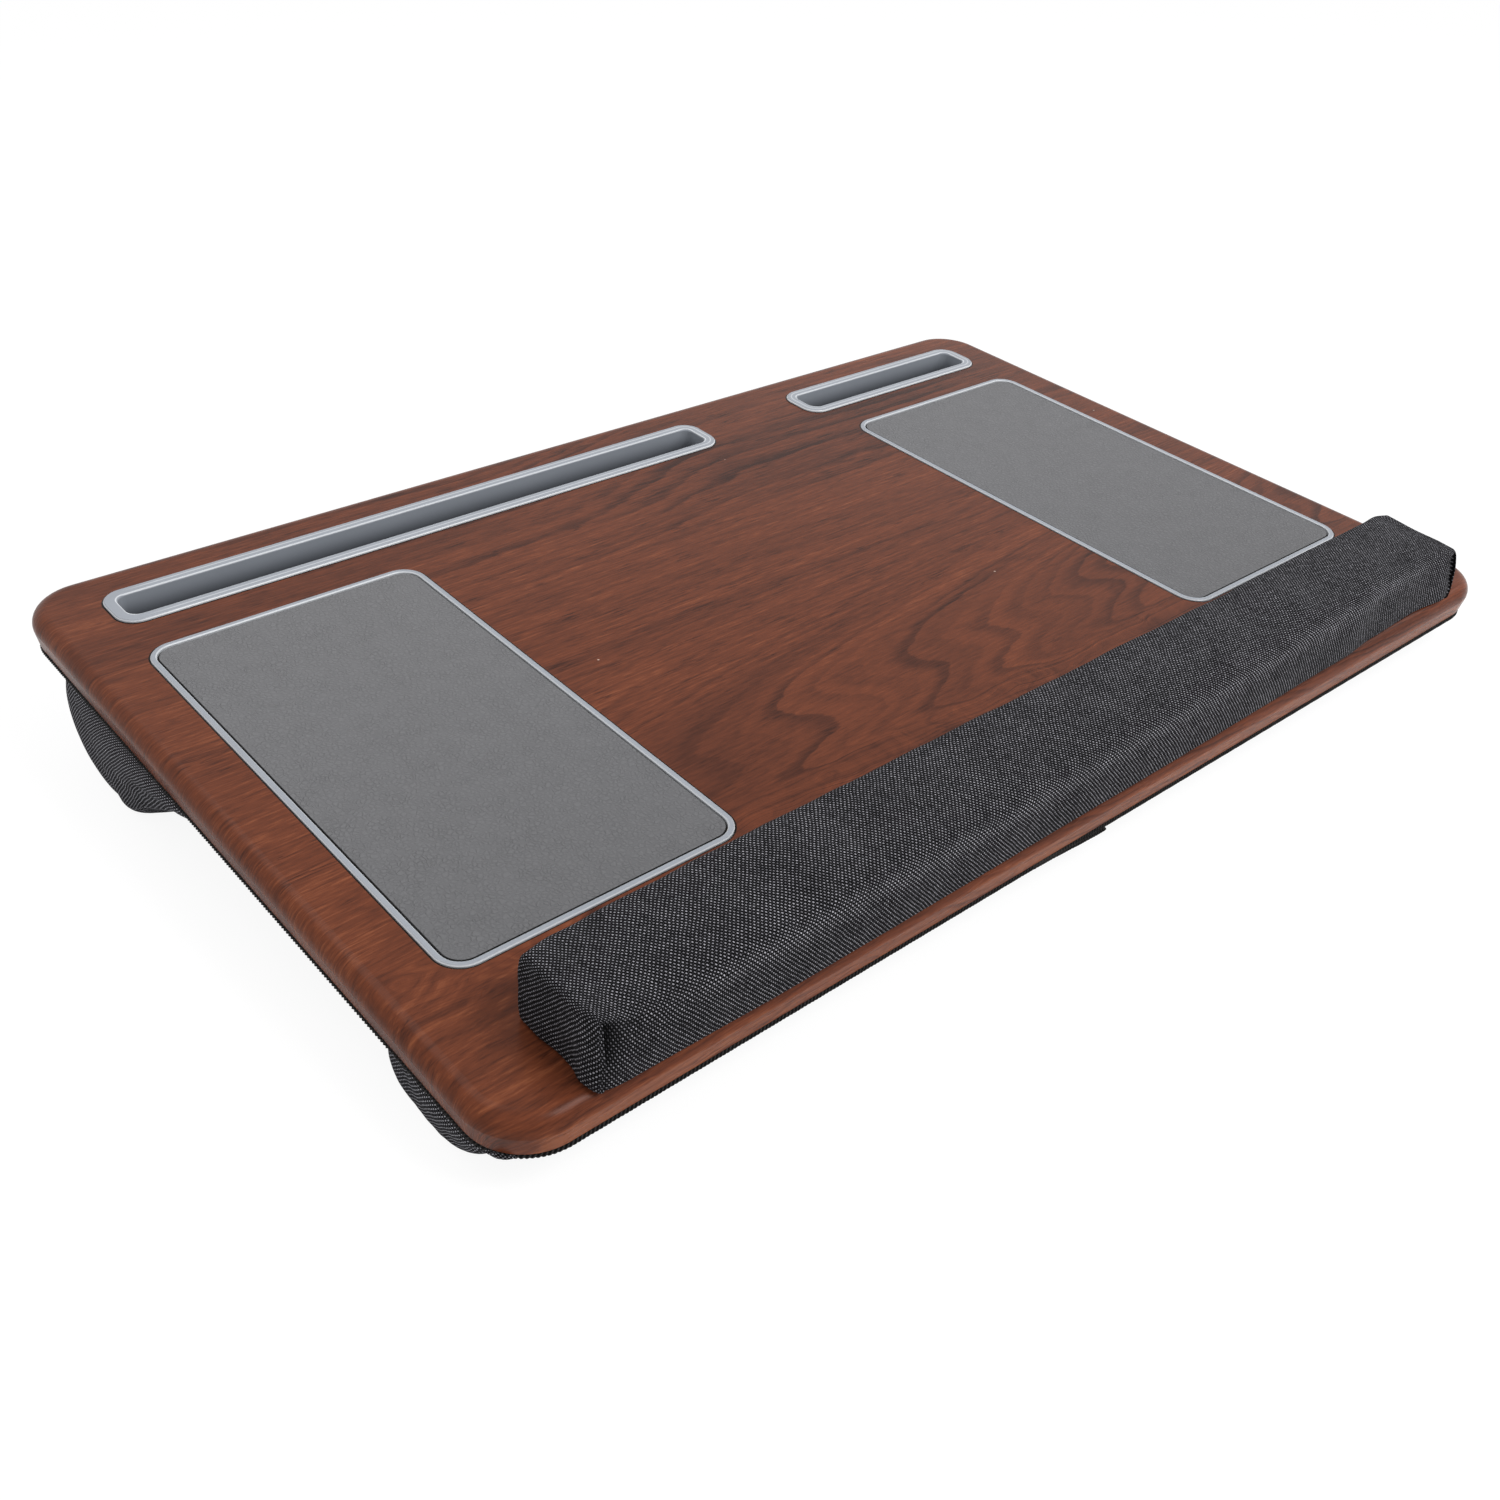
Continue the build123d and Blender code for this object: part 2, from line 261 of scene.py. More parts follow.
# %% [markdown]
# ## Studio light
# The photograph is lit softly from above, mostly from the right front. A world that is
# brighter overhead gives most of the light, at a level where a colour renders about as
# written, and three soft lamps add the rest: a broad one above the right front, a weak strip
# low at the right and one high at the back. The camera sees the world itself as white.

# %% World and lamps
AMBIENT_HORIZON = 0.28
AMBIENT_TOP = 0.78
AMBIENT_RISE = (-0.1, 0.9)
WHITE = (1.0, 1.0, 1.0, 1.0)

world = bpy.data.worlds.new("studio")
bpy.context.scene.world = world
world_tree = empty_tree(world)
rays = add_node(world_tree, "LightPath")
seen = Wire(world_tree, rays.outputs["Is Camera Ray"]) + rays.outputs["Is Glossy Ray"]
seen = seen.math("ADD", rays.outputs["Is Transmission Ray"], clamp=True)
sky = add_node(world_tree, "SeparateXYZ", {"Vector": add_node(world_tree, "TexCoord").outputs["Generated"]})
ambient = Wire(world_tree, sky.outputs["Z"]).step(*AMBIENT_RISE, AMBIENT_HORIZON, AMBIENT_TOP)
strength = ambient + seen * (1.0 - ambient)
background = add_node(world_tree, "Background", {"Color": WHITE, "Strength": strength})
add_node(world_tree, "OutputWorld", {"Surface": background.outputs[0]})


def add_lamp(name, place, size, watts, aim=(0.0, 0.0, 0.03)):
    """A soft lamp, width by height in metres, that points at the tray."""
    data = bpy.data.lights.new(name, "AREA")
    data.shape = "RECTANGLE"
    data.size, data.size_y = size
    data.energy = watts
    lamp = add_object(name, data)
    lamp.location = place
    lamp.rotation_mode = "QUATERNION"
    lamp.rotation_quaternion = (Vector(aim) - Vector(place)).to_track_quat("-Z", "Y")
    print("lamp", name, "at", place, "of", watts, "W")


add_lamp("key_front", (0.42, -1.22, 1.50), (0.8, 0.8), 20.0)
add_lamp("strip_right", (1.45, -0.95, 1.05), (1.1, 0.45), 3.5)
add_lamp("top_back", (-0.3, 0.9, 1.9), (1.2, 1.2), 7.0)

# %% [markdown]
# ## The floor
# The floor takes the tray's shadow, and the camera sees it mostly as an even glow, so it
# stays near white. From below it is clear, so that the underside can be looked at too.

# %% Floor
FLOOR_SIZE = 12.0
FLOOR_DROP = 0.0002
FLOOR_GREY = (0.86, 0.86, 0.86, 1.0)
FLOOR_GLOW_SHARE = 0.86
FLOOR_GLOW = 1.06

half_floor = FLOOR_SIZE / 2
floor_corners = [(x * half_floor, y * half_floor, 0) for x, y in ((-1, -1), (1, -1), (1, 1), (-1, 1))]
floor_mesh = bpy.data.meshes.new("floor")
floor_mesh.from_pydata(floor_corners, [], [(0, 1, 2, 3)])
floor = add_object("floor", floor_mesh)
floor.location.z = -FLOOR_DROP
floor_finish, floor_tree = new_finish("pale_floor")
lit = add_node(floor_tree, "BsdfDiffuse", {"Color": FLOOR_GREY})
glow = add_node(floor_tree, "Emission", {"Color": WHITE, "Strength": FLOOR_GLOW})
clear = add_node(floor_tree, "BsdfTransparent")
by_camera = Wire(floor_tree, add_node(floor_tree, "LightPath").outputs["Is Camera Ray"])
from_below = add_node(floor_tree, "NewGeometry").outputs["Backfacing"]
above = add_node(floor_tree, "MixShader", {
    0: by_camera * FLOOR_GLOW_SHARE, 1: lit.outputs[0], 2: glow.outputs[0]})
both = add_node(floor_tree, "MixShader", {0: from_below, 1: above.outputs[0], 2: clear.outputs[0]})
add_node(floor_tree, "OutputMaterial", {"Surface": both.outputs[0]})
floor_mesh.materials.append(floor_finish)
print("floor is", FLOOR_SIZE, "m wide, and clear from below")

# %% [markdown]
# ## The printed wood film
# The real film is a photograph of wood printed on plastic, wrapped over the top and edges
# in one sheet. So the pattern is drawn in the sheet's own plane: past an edge, the distance
# down the side is added to the distance along the top, and the grain runs over the corner.
# The figure is a map that counts year rings. Near the front the log was cut flat, so a ring
# runs in a wavy tongue whose place along the board is a curve of the depth. Further back
# the rings lie straight and then swing up to the right in a few broad dark bands.

# %% Year rings
EDGE_WRAP_START, EDGE_WRAP_FULL = 30.0, 10.0
TONGUE_PITCH = 25.0
RING_FRONT, RING_BACK = -200.0, 200.0
RING_REACH = 60.0
# How far each depth has got through the rings, as the tongue's place along the board over
# its pitch near the front, and further back simply as a count
RING_LINE = ((-200, 50), (-160, 36), (-140, 26), (-124, 14), (-117, 6.4), (-113, 0), (-110.5, -3.6),
             (-108, -4.7), (-105, -5), (-101.5, -4.84), (-97, -4.36), (-92.5, -3.88), (-88.5, -3.68),
             (-84, -3.7), (-78, -3.96), (-74, -4.12), (-71, -4.16), (-68, -4.08), (-62, -3.64),
             (-53, -2.64), (-47, -1.5), (-40, 0), (-33, 1.6), (-20, 4.6), (0, 9.6), (30, 17), (60, 24),
             (78, 27.4), (100, 30.2), (130, 33.2), (160, 37), (200, 42))
SWING_RISE = 27.0
# Where each effect begins and where it is full, in millimetres along or across the board
RISE_ALONG, RISE_ACROSS = (-75.0, 65.0), (55.0, 125.0)
BACK_WAVES, FRONT_WAVES = (-30.0, 20.0), (-35.0, -65.0)
TONGUE_ZONE, WANDER_ZONE = (15.0, -45.0), (-20.0, 40.0)


def wrapped(along, down, half):
    """A distance along the top that goes on down the side past an edge."""
    near_edge = along.math("ABSOLUTE").step(half - EDGE_WRAP_START, half - EDGE_WRAP_FULL)
    return along - down * near_edge * along.math("SIGN")


def curve_of(wire, knots, low, high, reach):
    """A wire bent through knots: from low..high to values within plus and minus reach."""
    made = add_node(wire.tree, "FloatCurve")
    line = made.mapping.curves[0]
    for index, (place, value) in enumerate(knots):
        spot = ((place - low) / (high - low), value / reach * 0.5 + 0.5)
        if index in (0, len(knots) - 1):
            line.points[0 if index == 0 else -1].location = spot
        else:
            line.points.new(*spot)
    made.mapping.update()
    feed(wire.tree, made.inputs["Value"], (wire - low) / (high - low))
    return (Wire(wire.tree, made.outputs["Value"]) - 0.5) * (2 * reach)


print("the ring line has", len(RING_LINE), "knots")

# %% [markdown]
# ## The film's colour
# A ring darkens slowly and ends sharply, and some rings are stronger than others. Streaks,
# fibres, fine lines and pores run along the rings, with a few pale specks between them. The
# tone they add up to, with painted light on the front band and near the left edge, picks a
# colour from a ramp, and a dark line of painted shade is drawn round each inlay for its shaded gap.
# In every cloud the divisors are its size in millimetres along and across the grain, and the
# number after them only sets it apart from the others.

# %% Wood film
WOOD_DARK = srgb(50, 25, 18)
WOOD_BROWN = srgb(82, 43, 29)
WOOD_RED = srgb(106, 56, 36)
WOOD_LIGHT = srgb(138, 80, 52)
WOOD_SPECK = srgb(205, 180, 165)
# Painted shade colour for the gap round each inlay
INSET_SHADE_LINE = srgb(14, 10, 9)
BROWN_TONE, RED_TONE, MIDDLE_TONE = 0.36, 0.68, 0.55
FIBRE_TURN = 0.8
TONGUES_ACROSS, TONGUES_ALONG = (-30.0, -60.0), (-190.0, -150.0)
SWING_ACROSS, SWING_ALONG = (62.0, 84.0), (-190.0, -120.0)
# Painted light: where the front band and the left edge are drawn paler, and by how much
FRONT_REFLECTION_DOWN, FRONT_REFLECTION_OUT, FRONT_REFLECTION_LIFT = (-4.0, -8.0), (-188.0, -191.0), 0.34
LEFT_LIGHT_BAND, LEFT_LIGHT_LIFT = (-165.0, -215.0), 0.07
SPECK_SPACING = 20.0
SPECK_RADIUS = (0.030, 0.018)
INSET_SHADE_REACH = (0.80, 0.66)
# Each pattern's size in millimetres along and across the fibres, number, detail and roughness
FIBRE_PATTERNS = {
    "feather": (22, 1.3, 49.0, 3.0, 0.7), "streaks": (34, 2.2, 35.0, 3.0, 0.6),
    "fibres": (16, 1.1, 37.0, 3.0, 0.7), "lines": (30, 2.2, 45.0, 3.0, 0.5),
    "line_parts": (25, 9, 47.0, 1.0, 0.5), "glints": (6, 1.3, 39.0, 1.0, 0.5),
    "pores": (4, 0.35, 41.0, 0.0, 0.5)}
INSET_CORNERS = {"left_pad_frame": 11.5, "right_pad_frame": 11.5, "tablet_trough": 10.0, "phone_trough": 10.0}


def ring_count(along, across):
    """How many year rings lie between a point and the board's middle."""
    swing = along.step(*RISE_ALONG) * across.step(*RISE_ACROSS) * SWING_RISE
    bent = across - swing + cloud(along / 45, across / 14, 21.0) * 1.5
    bent = bent + across.step(*BACK_WAVES) * cloud(along / 90, across / 20, 22.0) * 3.0
    bent = bent + across.step(*FRONT_WAVES) * cloud(along / 60, across / 26, 26.0) * 7.0
    line = curve_of(bent, RING_LINE, RING_FRONT, RING_BACK, RING_REACH)
    drift = cloud(along / 110, across / 30, 23.0, detail=3.0) * 14
    tongue_share = across.step(*TONGUE_ZONE)
    wander = across.step(*WANDER_ZONE) * (cloud(along / 240, across / 30, 24.0) * 1.2)
    jitter = cloud(along / 16, across / 4, 25.0) * 0.16
    return (along + drift) * tongue_share / TONGUE_PITCH - line + wander + jitter


def nearest(distances):
    """The smallest of several wires."""
    found = distances[0]
    for other in distances[1:]:
        found = found.math("MINIMUM", other)
    return found


def outline_distance(x, y, node, corner):
    """How far a point lies outside a node's rounded outline, negative inside, in millimetres."""
    low, high = board_box(node)
    over = [(wire - float(low[k] + high[k]) / 2).math("ABSOLUTE") - float((high[k] - low[k]) / 2 - corner)
            for k, wire in enumerate((x, y))]
    inside = over[0].math("MAXIMUM", over[1]).math("MINIMUM", 0.0)
    over_x, over_y = [part.math("MAXIMUM", 0.0) for part in over]
    return (over_x * over_x + over_y * over_y).math("SQRT") + inside - corner


def inset_distance(x, y):
    """How far a point lies outside the nearest pad frame or trough, negative inside it."""
    return nearest([outline_distance(x, y, node, corner) for node, corner in INSET_CORNERS.items()])


def wood_tone(along, across):
    """How pale the print is, from about 0 to 1, and the streaks in it."""
    rings = ring_count(along, across)
    fibre_y = across - rings * FIBRE_TURN
    drawn = {name: cloud(along / long, fibre_y / wide, number, detail, roughness)
             for name, (long, wide, number, detail, roughness) in FIBRE_PATTERNS.items()}
    part = (rings + drawn["feather"] * 0.09).math("FRACT")
    late = part.step(0.20, 0.85) * part.step(1.0, 0.9)
    in_tongues = across.step(*TONGUES_ACROSS) * along.step(*TONGUES_ALONG)
    in_swing = across.step(*SWING_ACROSS) * along.step(*SWING_ALONG)
    own = add_node(along.tree, "TexWhiteNoise", {"W": rings.math("FLOOR")}, noise_dimensions="1D")
    ring_weight = Wire(along.tree, own.outputs["Value"]).step(0.1, 0.9, 0.32, 1.0)
    strength = cloud(along / 130, rings / 1.7, 31.0).step(-0.45, 0.5, 0.05, 1.0)
    strength = strength * ring_weight * (in_tongues.math("MAXIMUM", in_swing) * 0.6 + 0.4)
    broad = cloud(along / 320, rings / 3.4, 33.0)
    rough = 1.0 - in_tongues * 0.45
    fine_lines = drawn["lines"].math("ABSOLUTE").step(0.09, 0.0) * drawn["line_parts"].step(-0.1, 0.5)
    tone = broad * 0.36 + drawn["streaks"] * rough * 0.32 + drawn["fibres"] * rough * 0.50
    tone = tone + drawn["glints"] * 0.14 - late * strength * 0.50 + MIDDLE_TONE
    return tone - drawn["pores"].step(0.38, 0.6) * 0.10 - fine_lines * rough * 0.40, drawn["streaks"]


def wood_film_finish():
    material, tree = new_finish("printed_wood_film")
    x, y, z = board_place(tree)
    along = wrapped(x, z, BOARD_WIDTH / 2)
    tone, streaks = wood_tone(along, wrapped(y, z, BOARD_DEPTH / 2))
    # Painted light: the front edge's lower band is drawn paler for its reflection of the pale floor, and the
    # film near the left edge is drawn a little paler, where more light falls
    front_reflection = z.step(*FRONT_REFLECTION_DOWN) * y.step(*FRONT_REFLECTION_OUT)
    tone = tone + front_reflection * FRONT_REFLECTION_LIFT + along.step(*LEFT_LIGHT_BAND) * LEFT_LIGHT_LIFT
    ramp = add_node(tree, "ValToRGB", {"Fac": tone})
    stops = ramp.color_ramp.elements
    stops[0].color, stops[1].color = WOOD_DARK, WOOD_LIGHT
    stops.new(BROWN_TONE).color = WOOD_BROWN
    stops.new(RED_TONE).color = WOOD_RED
    cell_x, cell_y = x / SPECK_SPACING, y / SPECK_SPACING
    cells = add_node(tree, "TexVoronoi", {"Vector": xyz(cell_x, cell_y), "Scale": 1.0})
    specks = Wire(tree, cells.outputs["Distance"]).step(*SPECK_RADIUS)
    specks = specks * cloud(cell_x, cell_y, 51.0).step(0.05, 0.2)
    specked = blend(specks * 0.8, ramp.outputs["Color"], WOOD_SPECK)
    # Painted shade: a dark line round each pad frame and trough stands for the shaded gap there
    colour = blend(inset_distance(x, y).step(*INSET_SHADE_REACH), specked, INSET_SHADE_LINE)
    peel = cloud(x / 2.2, y / 2.2, z / 2.2, detail=1.0)
    surface(tree, colour, streaks * 0.03 + 0.27, 0.09, peel * 0.5 + 0.5, 0.01)
    return material


put_on(wood_film_finish(), "wood_film")

# %% [markdown]
# ## Moulded plastic
# The troughs and pad frames are satin plastic in a blue grey. A mould leaves a very fine
# texture and slow changes of gloss, which is what keeps a large plain surface from looking
# like paint. Painted highlights draw pale lines along the rims' edges and over the moulded
# steps, and painted shade darkens the troughs with depth.

# %% Grey moulding
MOULDING_GREY = srgb(152, 157, 165)
MOULDING_SHADE = srgb(143, 148, 156)
# Painted highlight colour for the rim lines and the steps
MOULDING_HIGHLIGHT = srgb(216, 219, 223)
# Painted shade colour deep in the troughs
TROUGH_SHADOW = srgb(52, 55, 60)
TROUGH_SHADE = (-0.6, -14.0)
RIM_TOP = (-1.6, -0.8)
OUTER_LINE, INNER_LINE_HALF = (0.55, 0.3), (0.45, 0.2)
PAD_BACK_EDGE = 125.0
FRAME_LINE, TROUGH_LINE_SHIFT = 2.45, 2.85
STEP_PITCH = 2.6
STEPS_START, STEPS_FULL, STEPS_REACH = 8, 26, (4.4, 3.8)
trough_left = float(board_box("tablet_trough")[0][0])


def moulding_finish():
    material, tree = new_finish("grey_moulded_plastic")
    x, y, z = board_place(tree)
    slow = cloud(x / 40, y / 25, z / 20, detail=3.0)
    fine = cloud(x / 0.5, y / 0.5, z / 0.5)
    plain = blend(slow * 0.5 + 0.5, MOULDING_GREY, MOULDING_SHADE)
    # A painted highlight follows the outer edge and another the inner one
    inwards = inset_distance(x, y) * -1.0
    on_trough = y.step(PAD_BACK_EDGE, PAD_BACK_EDGE + 1)
    from_line = (inwards - (FRAME_LINE + on_trough * TROUGH_LINE_SHIFT)).math("ABSOLUTE")
    edge = inwards.step(*OUTER_LINE) * 0.8 + from_line.step(*INNER_LINE_HALF)
    # The troughs' long sides are moulded in fine parallel steps, drawn as painted highlights
    steps = (inwards * (2 * pi / STEP_PITCH)).math("COSINE").step(0.4, 1.0) * inwards.step(*STEPS_REACH)
    steps = steps * on_trough * x.step(trough_left + STEPS_START, trough_left + STEPS_FULL)
    edged = blend((edge * 0.75 + steps * 0.55) * z.step(*RIM_TOP), plain, MOULDING_HIGHLIGHT)
    # Painted shade: the troughs are drawn darker with depth, where their insides are shaded
    colour = blend(z.step(*TROUGH_SHADE), edged, TROUGH_SHADOW)
    surface(tree, colour, slow * 0.05 + 0.36, 0.35, fine * 0.5 + 0.5, 0.002)
    return material


put_on(moulding_finish(), "tablet_trough", "phone_trough", "left_pad_frame", "right_pad_frame")

# %% [markdown]
# ## Leather
# The pads are matt coated leather. Its grain is a net of fine valleys round small pebbles,
# which a Voronoi pattern's distance to the cell edges gives, pushed about by noise so that
# no two pebbles are alike.

# %% Grey leather
LEATHER_GREY = srgb(102, 102, 104)
LEATHER_VALLEY = srgb(90, 90, 92)
LEATHER_SHEEN = srgb(150, 150, 152)
LEATHER_GAP = srgb(9, 9, 10)
LEATHER_CORNER = 8.5
RIM_SHIFT, RIM_GAP = 0.14, (-0.44, -0.32)
PEBBLE_SIZE, PEBBLE_VALLEY = 2.0, (0.0, 0.26)
# Painted reflection: where the leather grows paler towards the back, and by how much
SHEEN_ENDS, SHEEN_LIFT = (-170.0, 120.0), 0.16


def leather_finish():
    material, tree = new_finish("grey_pebbled_leather")
    x, y, z = board_place(tree)
    push_x, push_y = [cloud(x / 2.4, y / 2.4, seed) for seed in (1.0, 8.0)]
    place = xyz((x + push_x) / PEBBLE_SIZE, (y + push_y) / PEBBLE_SIZE)
    cells = add_node(tree, "TexVoronoi", {"Vector": place, "Scale": 1.0}, feature="DISTANCE_TO_EDGE")
    pebble = Wire(tree, cells.outputs["Distance"]).step(*PEBBLE_VALLEY)
    swell = cloud(x / 3.5, y / 3.5, 3.0)
    patches = cloud(x / 45, y / 45, 5.0)
    valley = cloud(x / 12, y / 12, 6.0).step(-0.6, 0.6, 0.6, 1.0)
    shade = 1.0 - (1.0 - pebble) * valley * 0.5 + patches * 0.04
    grained = blend(shade, LEATHER_VALLEY, LEATHER_GREY)
    # Painted reflection makes the leather a little paler towards the back
    grained = blend(y.step(*SHEEN_ENDS) * SHEEN_LIFT, grained, LEATHER_SHEEN)
    # A gap shows along the rim, wider on the left and front where the frame shades it
    rim = nearest([outline_distance(x - RIM_SHIFT, y - RIM_SHIFT, node, LEATHER_CORNER)
                   for node in ("left_pad_leather", "right_pad_leather")])
    colour = blend(rim.step(*RIM_GAP), grained, LEATHER_GAP)
    surface(tree, colour, pebble * -0.08 + 0.62, 0.22, pebble * valley + swell * 0.25, 0.30)
    return material


put_on(leather_finish(), "left_pad_leather", "right_pad_leather")

# %% [markdown]
# ## The inner pieces
# The board's core, the backing sheets, the foam and the filling hardly show, but each still
# gets the surface it has: pressed fibres, black rubbery sheet, open foam and wadding.

# %% Inner finishes
# Each look's name, dark and pale tone, grain in millimetres, roughness, and height of its
# grain in millimetres, with the pieces that have it
INNER_FINISHES = (
    ("fibreboard", (128, 98, 70), (168, 134, 98), 1.5, 0.85, 0.15, ["board_core"]),
    ("backing_sheet", (26, 26, 27), (44, 44, 46), 2.0, 0.7, 0.05, ["left_pad_backing", "right_pad_backing"]),
    ("foam", (196, 190, 168), (226, 220, 198), 1.0, 0.9, 0.3, ["wrist_rest_foam"]),
    ("adhesive_tape", (206, 202, 188), (224, 220, 208), 3.0, 0.5, 0.03, ["wrist_rest_tape"]),
    ("fibre_filling", (226, 226, 222), (242, 242, 240), 4.0, 0.95, 0.4,
     ["rear_bolster_filling", "front_bolster_filling"]))


def speckled_finish(name, dark, pale, grain_mm, roughness, depth_mm):
    """A rough material with two tones in small irregular specks."""
    material, tree = new_finish(name)
    x, y, z = board_place(tree)
    specks = cloud(x / grain_mm, y / grain_mm, z / grain_mm, detail=5.0, roughness=0.7)
    colour = blend(specks.step(-0.5, 0.5), srgb(*dark), srgb(*pale))
    surface(tree, colour, roughness, 0.5, specks * 0.5 + 0.5, depth_mm)
    return material


for *look, pieces in INNER_FINISHES:
    put_on(speckled_finish(*look), *pieces)

# %% [markdown]
# ## Woven cloth
# The cover cloth is a plain weave: each thread goes over one and under the next, so pale
# warp crossings lie like the pale squares of a chessboard between dark weft ones. Every
# cloth piece carries its own cloth coordinates in millimetres of cloth, laid along the
# threads, and the chessboard is the product of two cosines of them. The threads lean over
# too, which a third cosine along the diagonal gives. The same waves give the height, because
# each crossing is a small hill with a dark gap round it. The coordinates' third number is
# how much painted shade darkens a fold or tuck at that place, or, below zero, how much paler
# the cloth is drawn: below the rest's crease, and on the stretched bolsters with painted light
# from the floor.

# %% Charcoal weave
WARP_PITCH = 0.87
WEFT_PITCH = 0.99
WARP_PALE = srgb(182, 181, 188)
WARP_DULL = srgb(54, 53, 58)
WEFT_PALE = srgb(104, 102, 108)
WEFT_DARK = srgb(20, 20, 23)
# Black of the gaps between threads, and of painted shade in folds and tucks
GAP_AND_FOLD_SHADE_BLACK = srgb(5, 5, 6)
CLOTH_PLACE = "cloth_place"


def weave_finish():
    material, tree = new_finish("charcoal_plain_weave")
    place = add_node(tree, "Attribute", attribute_name=CLOTH_PLACE, attribute_type="GEOMETRY")
    parts = add_node(tree, "SeparateXYZ", {"Vector": place.outputs["Vector"]})
    s, t, fold_shade_and_paling = [Wire(tree, socket) for socket in parts.outputs]
    u = s / WARP_PITCH + cloud(s / 9, t / 9, 1.0) * 0.55 + cloud(s / 1.1, t / 14, 5.0) * 0.12
    v = t / WEFT_PITCH + cloud(s / 9, t / 9, 2.0) * 0.55 + cloud(s / 14, t / 1.1, 6.0) * 0.12
    over, under = (u * pi).math("COSINE"), (v * pi).math("COSINE")
    # Threads lean over, so that neighbours touch along one diagonal
    lean = ((u + v) * pi).math("COSINE")
    crossing = over * under * 0.5 + lean * 0.5
    thickness = (over * under).math("ABSOLUTE") * 0.78 + lean * 0.22
    dots = add_node(tree, "TexWhiteNoise", {"Vector": xyz(u.math("ROUND"), v.math("ROUND"))},
                    noise_dimensions="2D")
    per_dot = Wire(tree, dots.outputs["Value"])
    per_area = cloud(s / 22, t / 22, 4.0)
    per_thread = cloud(u * 0.7, v / 12, 3.0, detail=1.0)
    # Where the fourth number is below zero the cloth is drawn paler: below the rest's crease, and on the
    # stretched bolsters, with painted light from the floor
    drawn_paler = (fold_shade_and_paling * -1.0).math("MAXIMUM", 0.0)
    level = per_dot * 0.50 + 0.06 + per_area * 0.22 + per_thread * 0.25 + drawn_paler * 0.5
    warp_tone = blend(level + 0.22, WARP_DULL, WARP_PALE)
    weft_tone = blend(level + 0.18, WEFT_DARK, WEFT_PALE)
    threads = blend(crossing.step(-0.3, 0.3) + drawn_paler * 0.3, weft_tone, warp_tone)
    colour = blend(thickness.step(0.24, 0.86), GAP_AND_FOLD_SHADE_BLACK, threads)
    # Painted shade darkens the cloth where the fourth number marks a fold or tuck
    surface(tree, blend(fold_shade_and_paling, colour, GAP_AND_FOLD_SHADE_BLACK), 0.85, 0.06, thickness, 0.3)
    return material


charcoal_weave = weave_finish()
print("weave of", WARP_PITCH, "by", WEFT_PITCH, "mm")

# %% [markdown]
# ## Cloth panels as grids
# Every cloth piece is made of panels, and every panel is a grid of points along the board's
# axes. Panels share the points on their common edges, so the piece is one closed mesh, but
# each keeps its own cloth coordinates in its face corners, which makes a seam a true seam.

# %% Panel builder
def add_board_mesh(name, points, faces, material):
    """A smooth mesh whose points are given along the board's axes."""
    mesh = bpy.data.meshes.new(name)
    mesh.from_pydata([tuple(BOARD_TO_WORLD @ Vector(point)) for point in points], [], faces)
    mesh.polygons.foreach_set("use_smooth", [True] * len(mesh.polygons))
    mesh.materials.append(material)
    return add_object(name, mesh)


class PanelMesh:
    """Collects grids of points, merges the points that coincide, and builds one object."""

    def __init__(self, name):
        self.name = name
        self.points = []
        self.faces = []
        self.cloth = []
        self.index = {}

    def point(self, place):
        place = tuple(place)[:3]
        key = tuple(round(value, 3) for value in place)
        if key not in self.index:
            self.index[key] = len(self.points)
            self.points.append(place)
        return self.index[key]

    def grid(self, places, cloth, flip=False):
        """Rows of places, each x, y, z and perhaps a fourth number, the painted shade of a fold there
        and, below zero, how much paler the cloth is drawn, and of cloth places, each two distances
        along the threads."""
        rows, columns = len(places), len(places[0])
        ids = [[self.point(places[i][j]) for j in range(columns)] for i in range(rows)]
        for i in range(rows - 1):
            for j in range(columns - 1):
                corners = [(i, j), (i + 1, j), (i + 1, j + 1), (i, j + 1)]
                if flip:
                    corners.reverse()
                face = [ids[a][b] for a, b in corners]
                kept = [k for k in range(4) if face[k] != face[k - 1]]
                if len(kept) < 3:
                    continue
                self.faces.append([face[k] for k in kept])
                for k in kept:
                    i_k, j_k = corners[k]
                    fold_shade_and_paling = places[i_k][j_k][3] if len(places[i_k][j_k]) > 3 else 0.0
                    self.cloth.append((*cloth[i_k][j_k], fold_shade_and_paling))

    def build(self, material):
        made = add_board_mesh(self.name, self.points, self.faces, material)
        mesh = made.data
        place = mesh.attributes.new(CLOTH_PLACE, "FLOAT_VECTOR", "CORNER")
        place.data.foreach_set("vector", np.array(self.cloth, np.float32).ravel())
        working = bmesh.new()
        working.from_mesh(mesh)
        bmesh.ops.recalc_face_normals(working, faces=working.faces)
        working.to_mesh(mesh)
        working.free()
        print(self.name, len(mesh.vertices), "points", len(mesh.polygons), "faces")
        return made


def smooth_curve(knots, x):
    """A curve through a few (x, value) knots, eased between them."""
    xs, values = zip(*knots)
    i = min(max(int(np.searchsorted(xs, x)) - 1, 0), len(xs) - 2)
    share = min(max((x - xs[i]) / (xs[i + 1] - xs[i]), 0.0), 1.0)
    return values[i] + (values[i + 1] - values[i]) * share * share * (3 - 2 * share)


def mix(first, second, share):
    """A value between two others."""
    return first + (second - first) * share


def hump(share):
    """0 at both ends and 1 half-way."""
    return 4 * share * (1 - share)


def lengths_along(points):
    """How far each point lies along the line through them all."""
    return np.concatenate(([0], np.cumsum(np.linalg.norm(np.diff(points, axis=0), axis=1))))


def ripple(x, y, z, size, seed):
    """Gentle repeatable noise from about -1 to 1 for small hand-made unevenness."""
    return noise.noise(Vector((x / size + seed, y / size - seed, z / size + 2 * seed)))


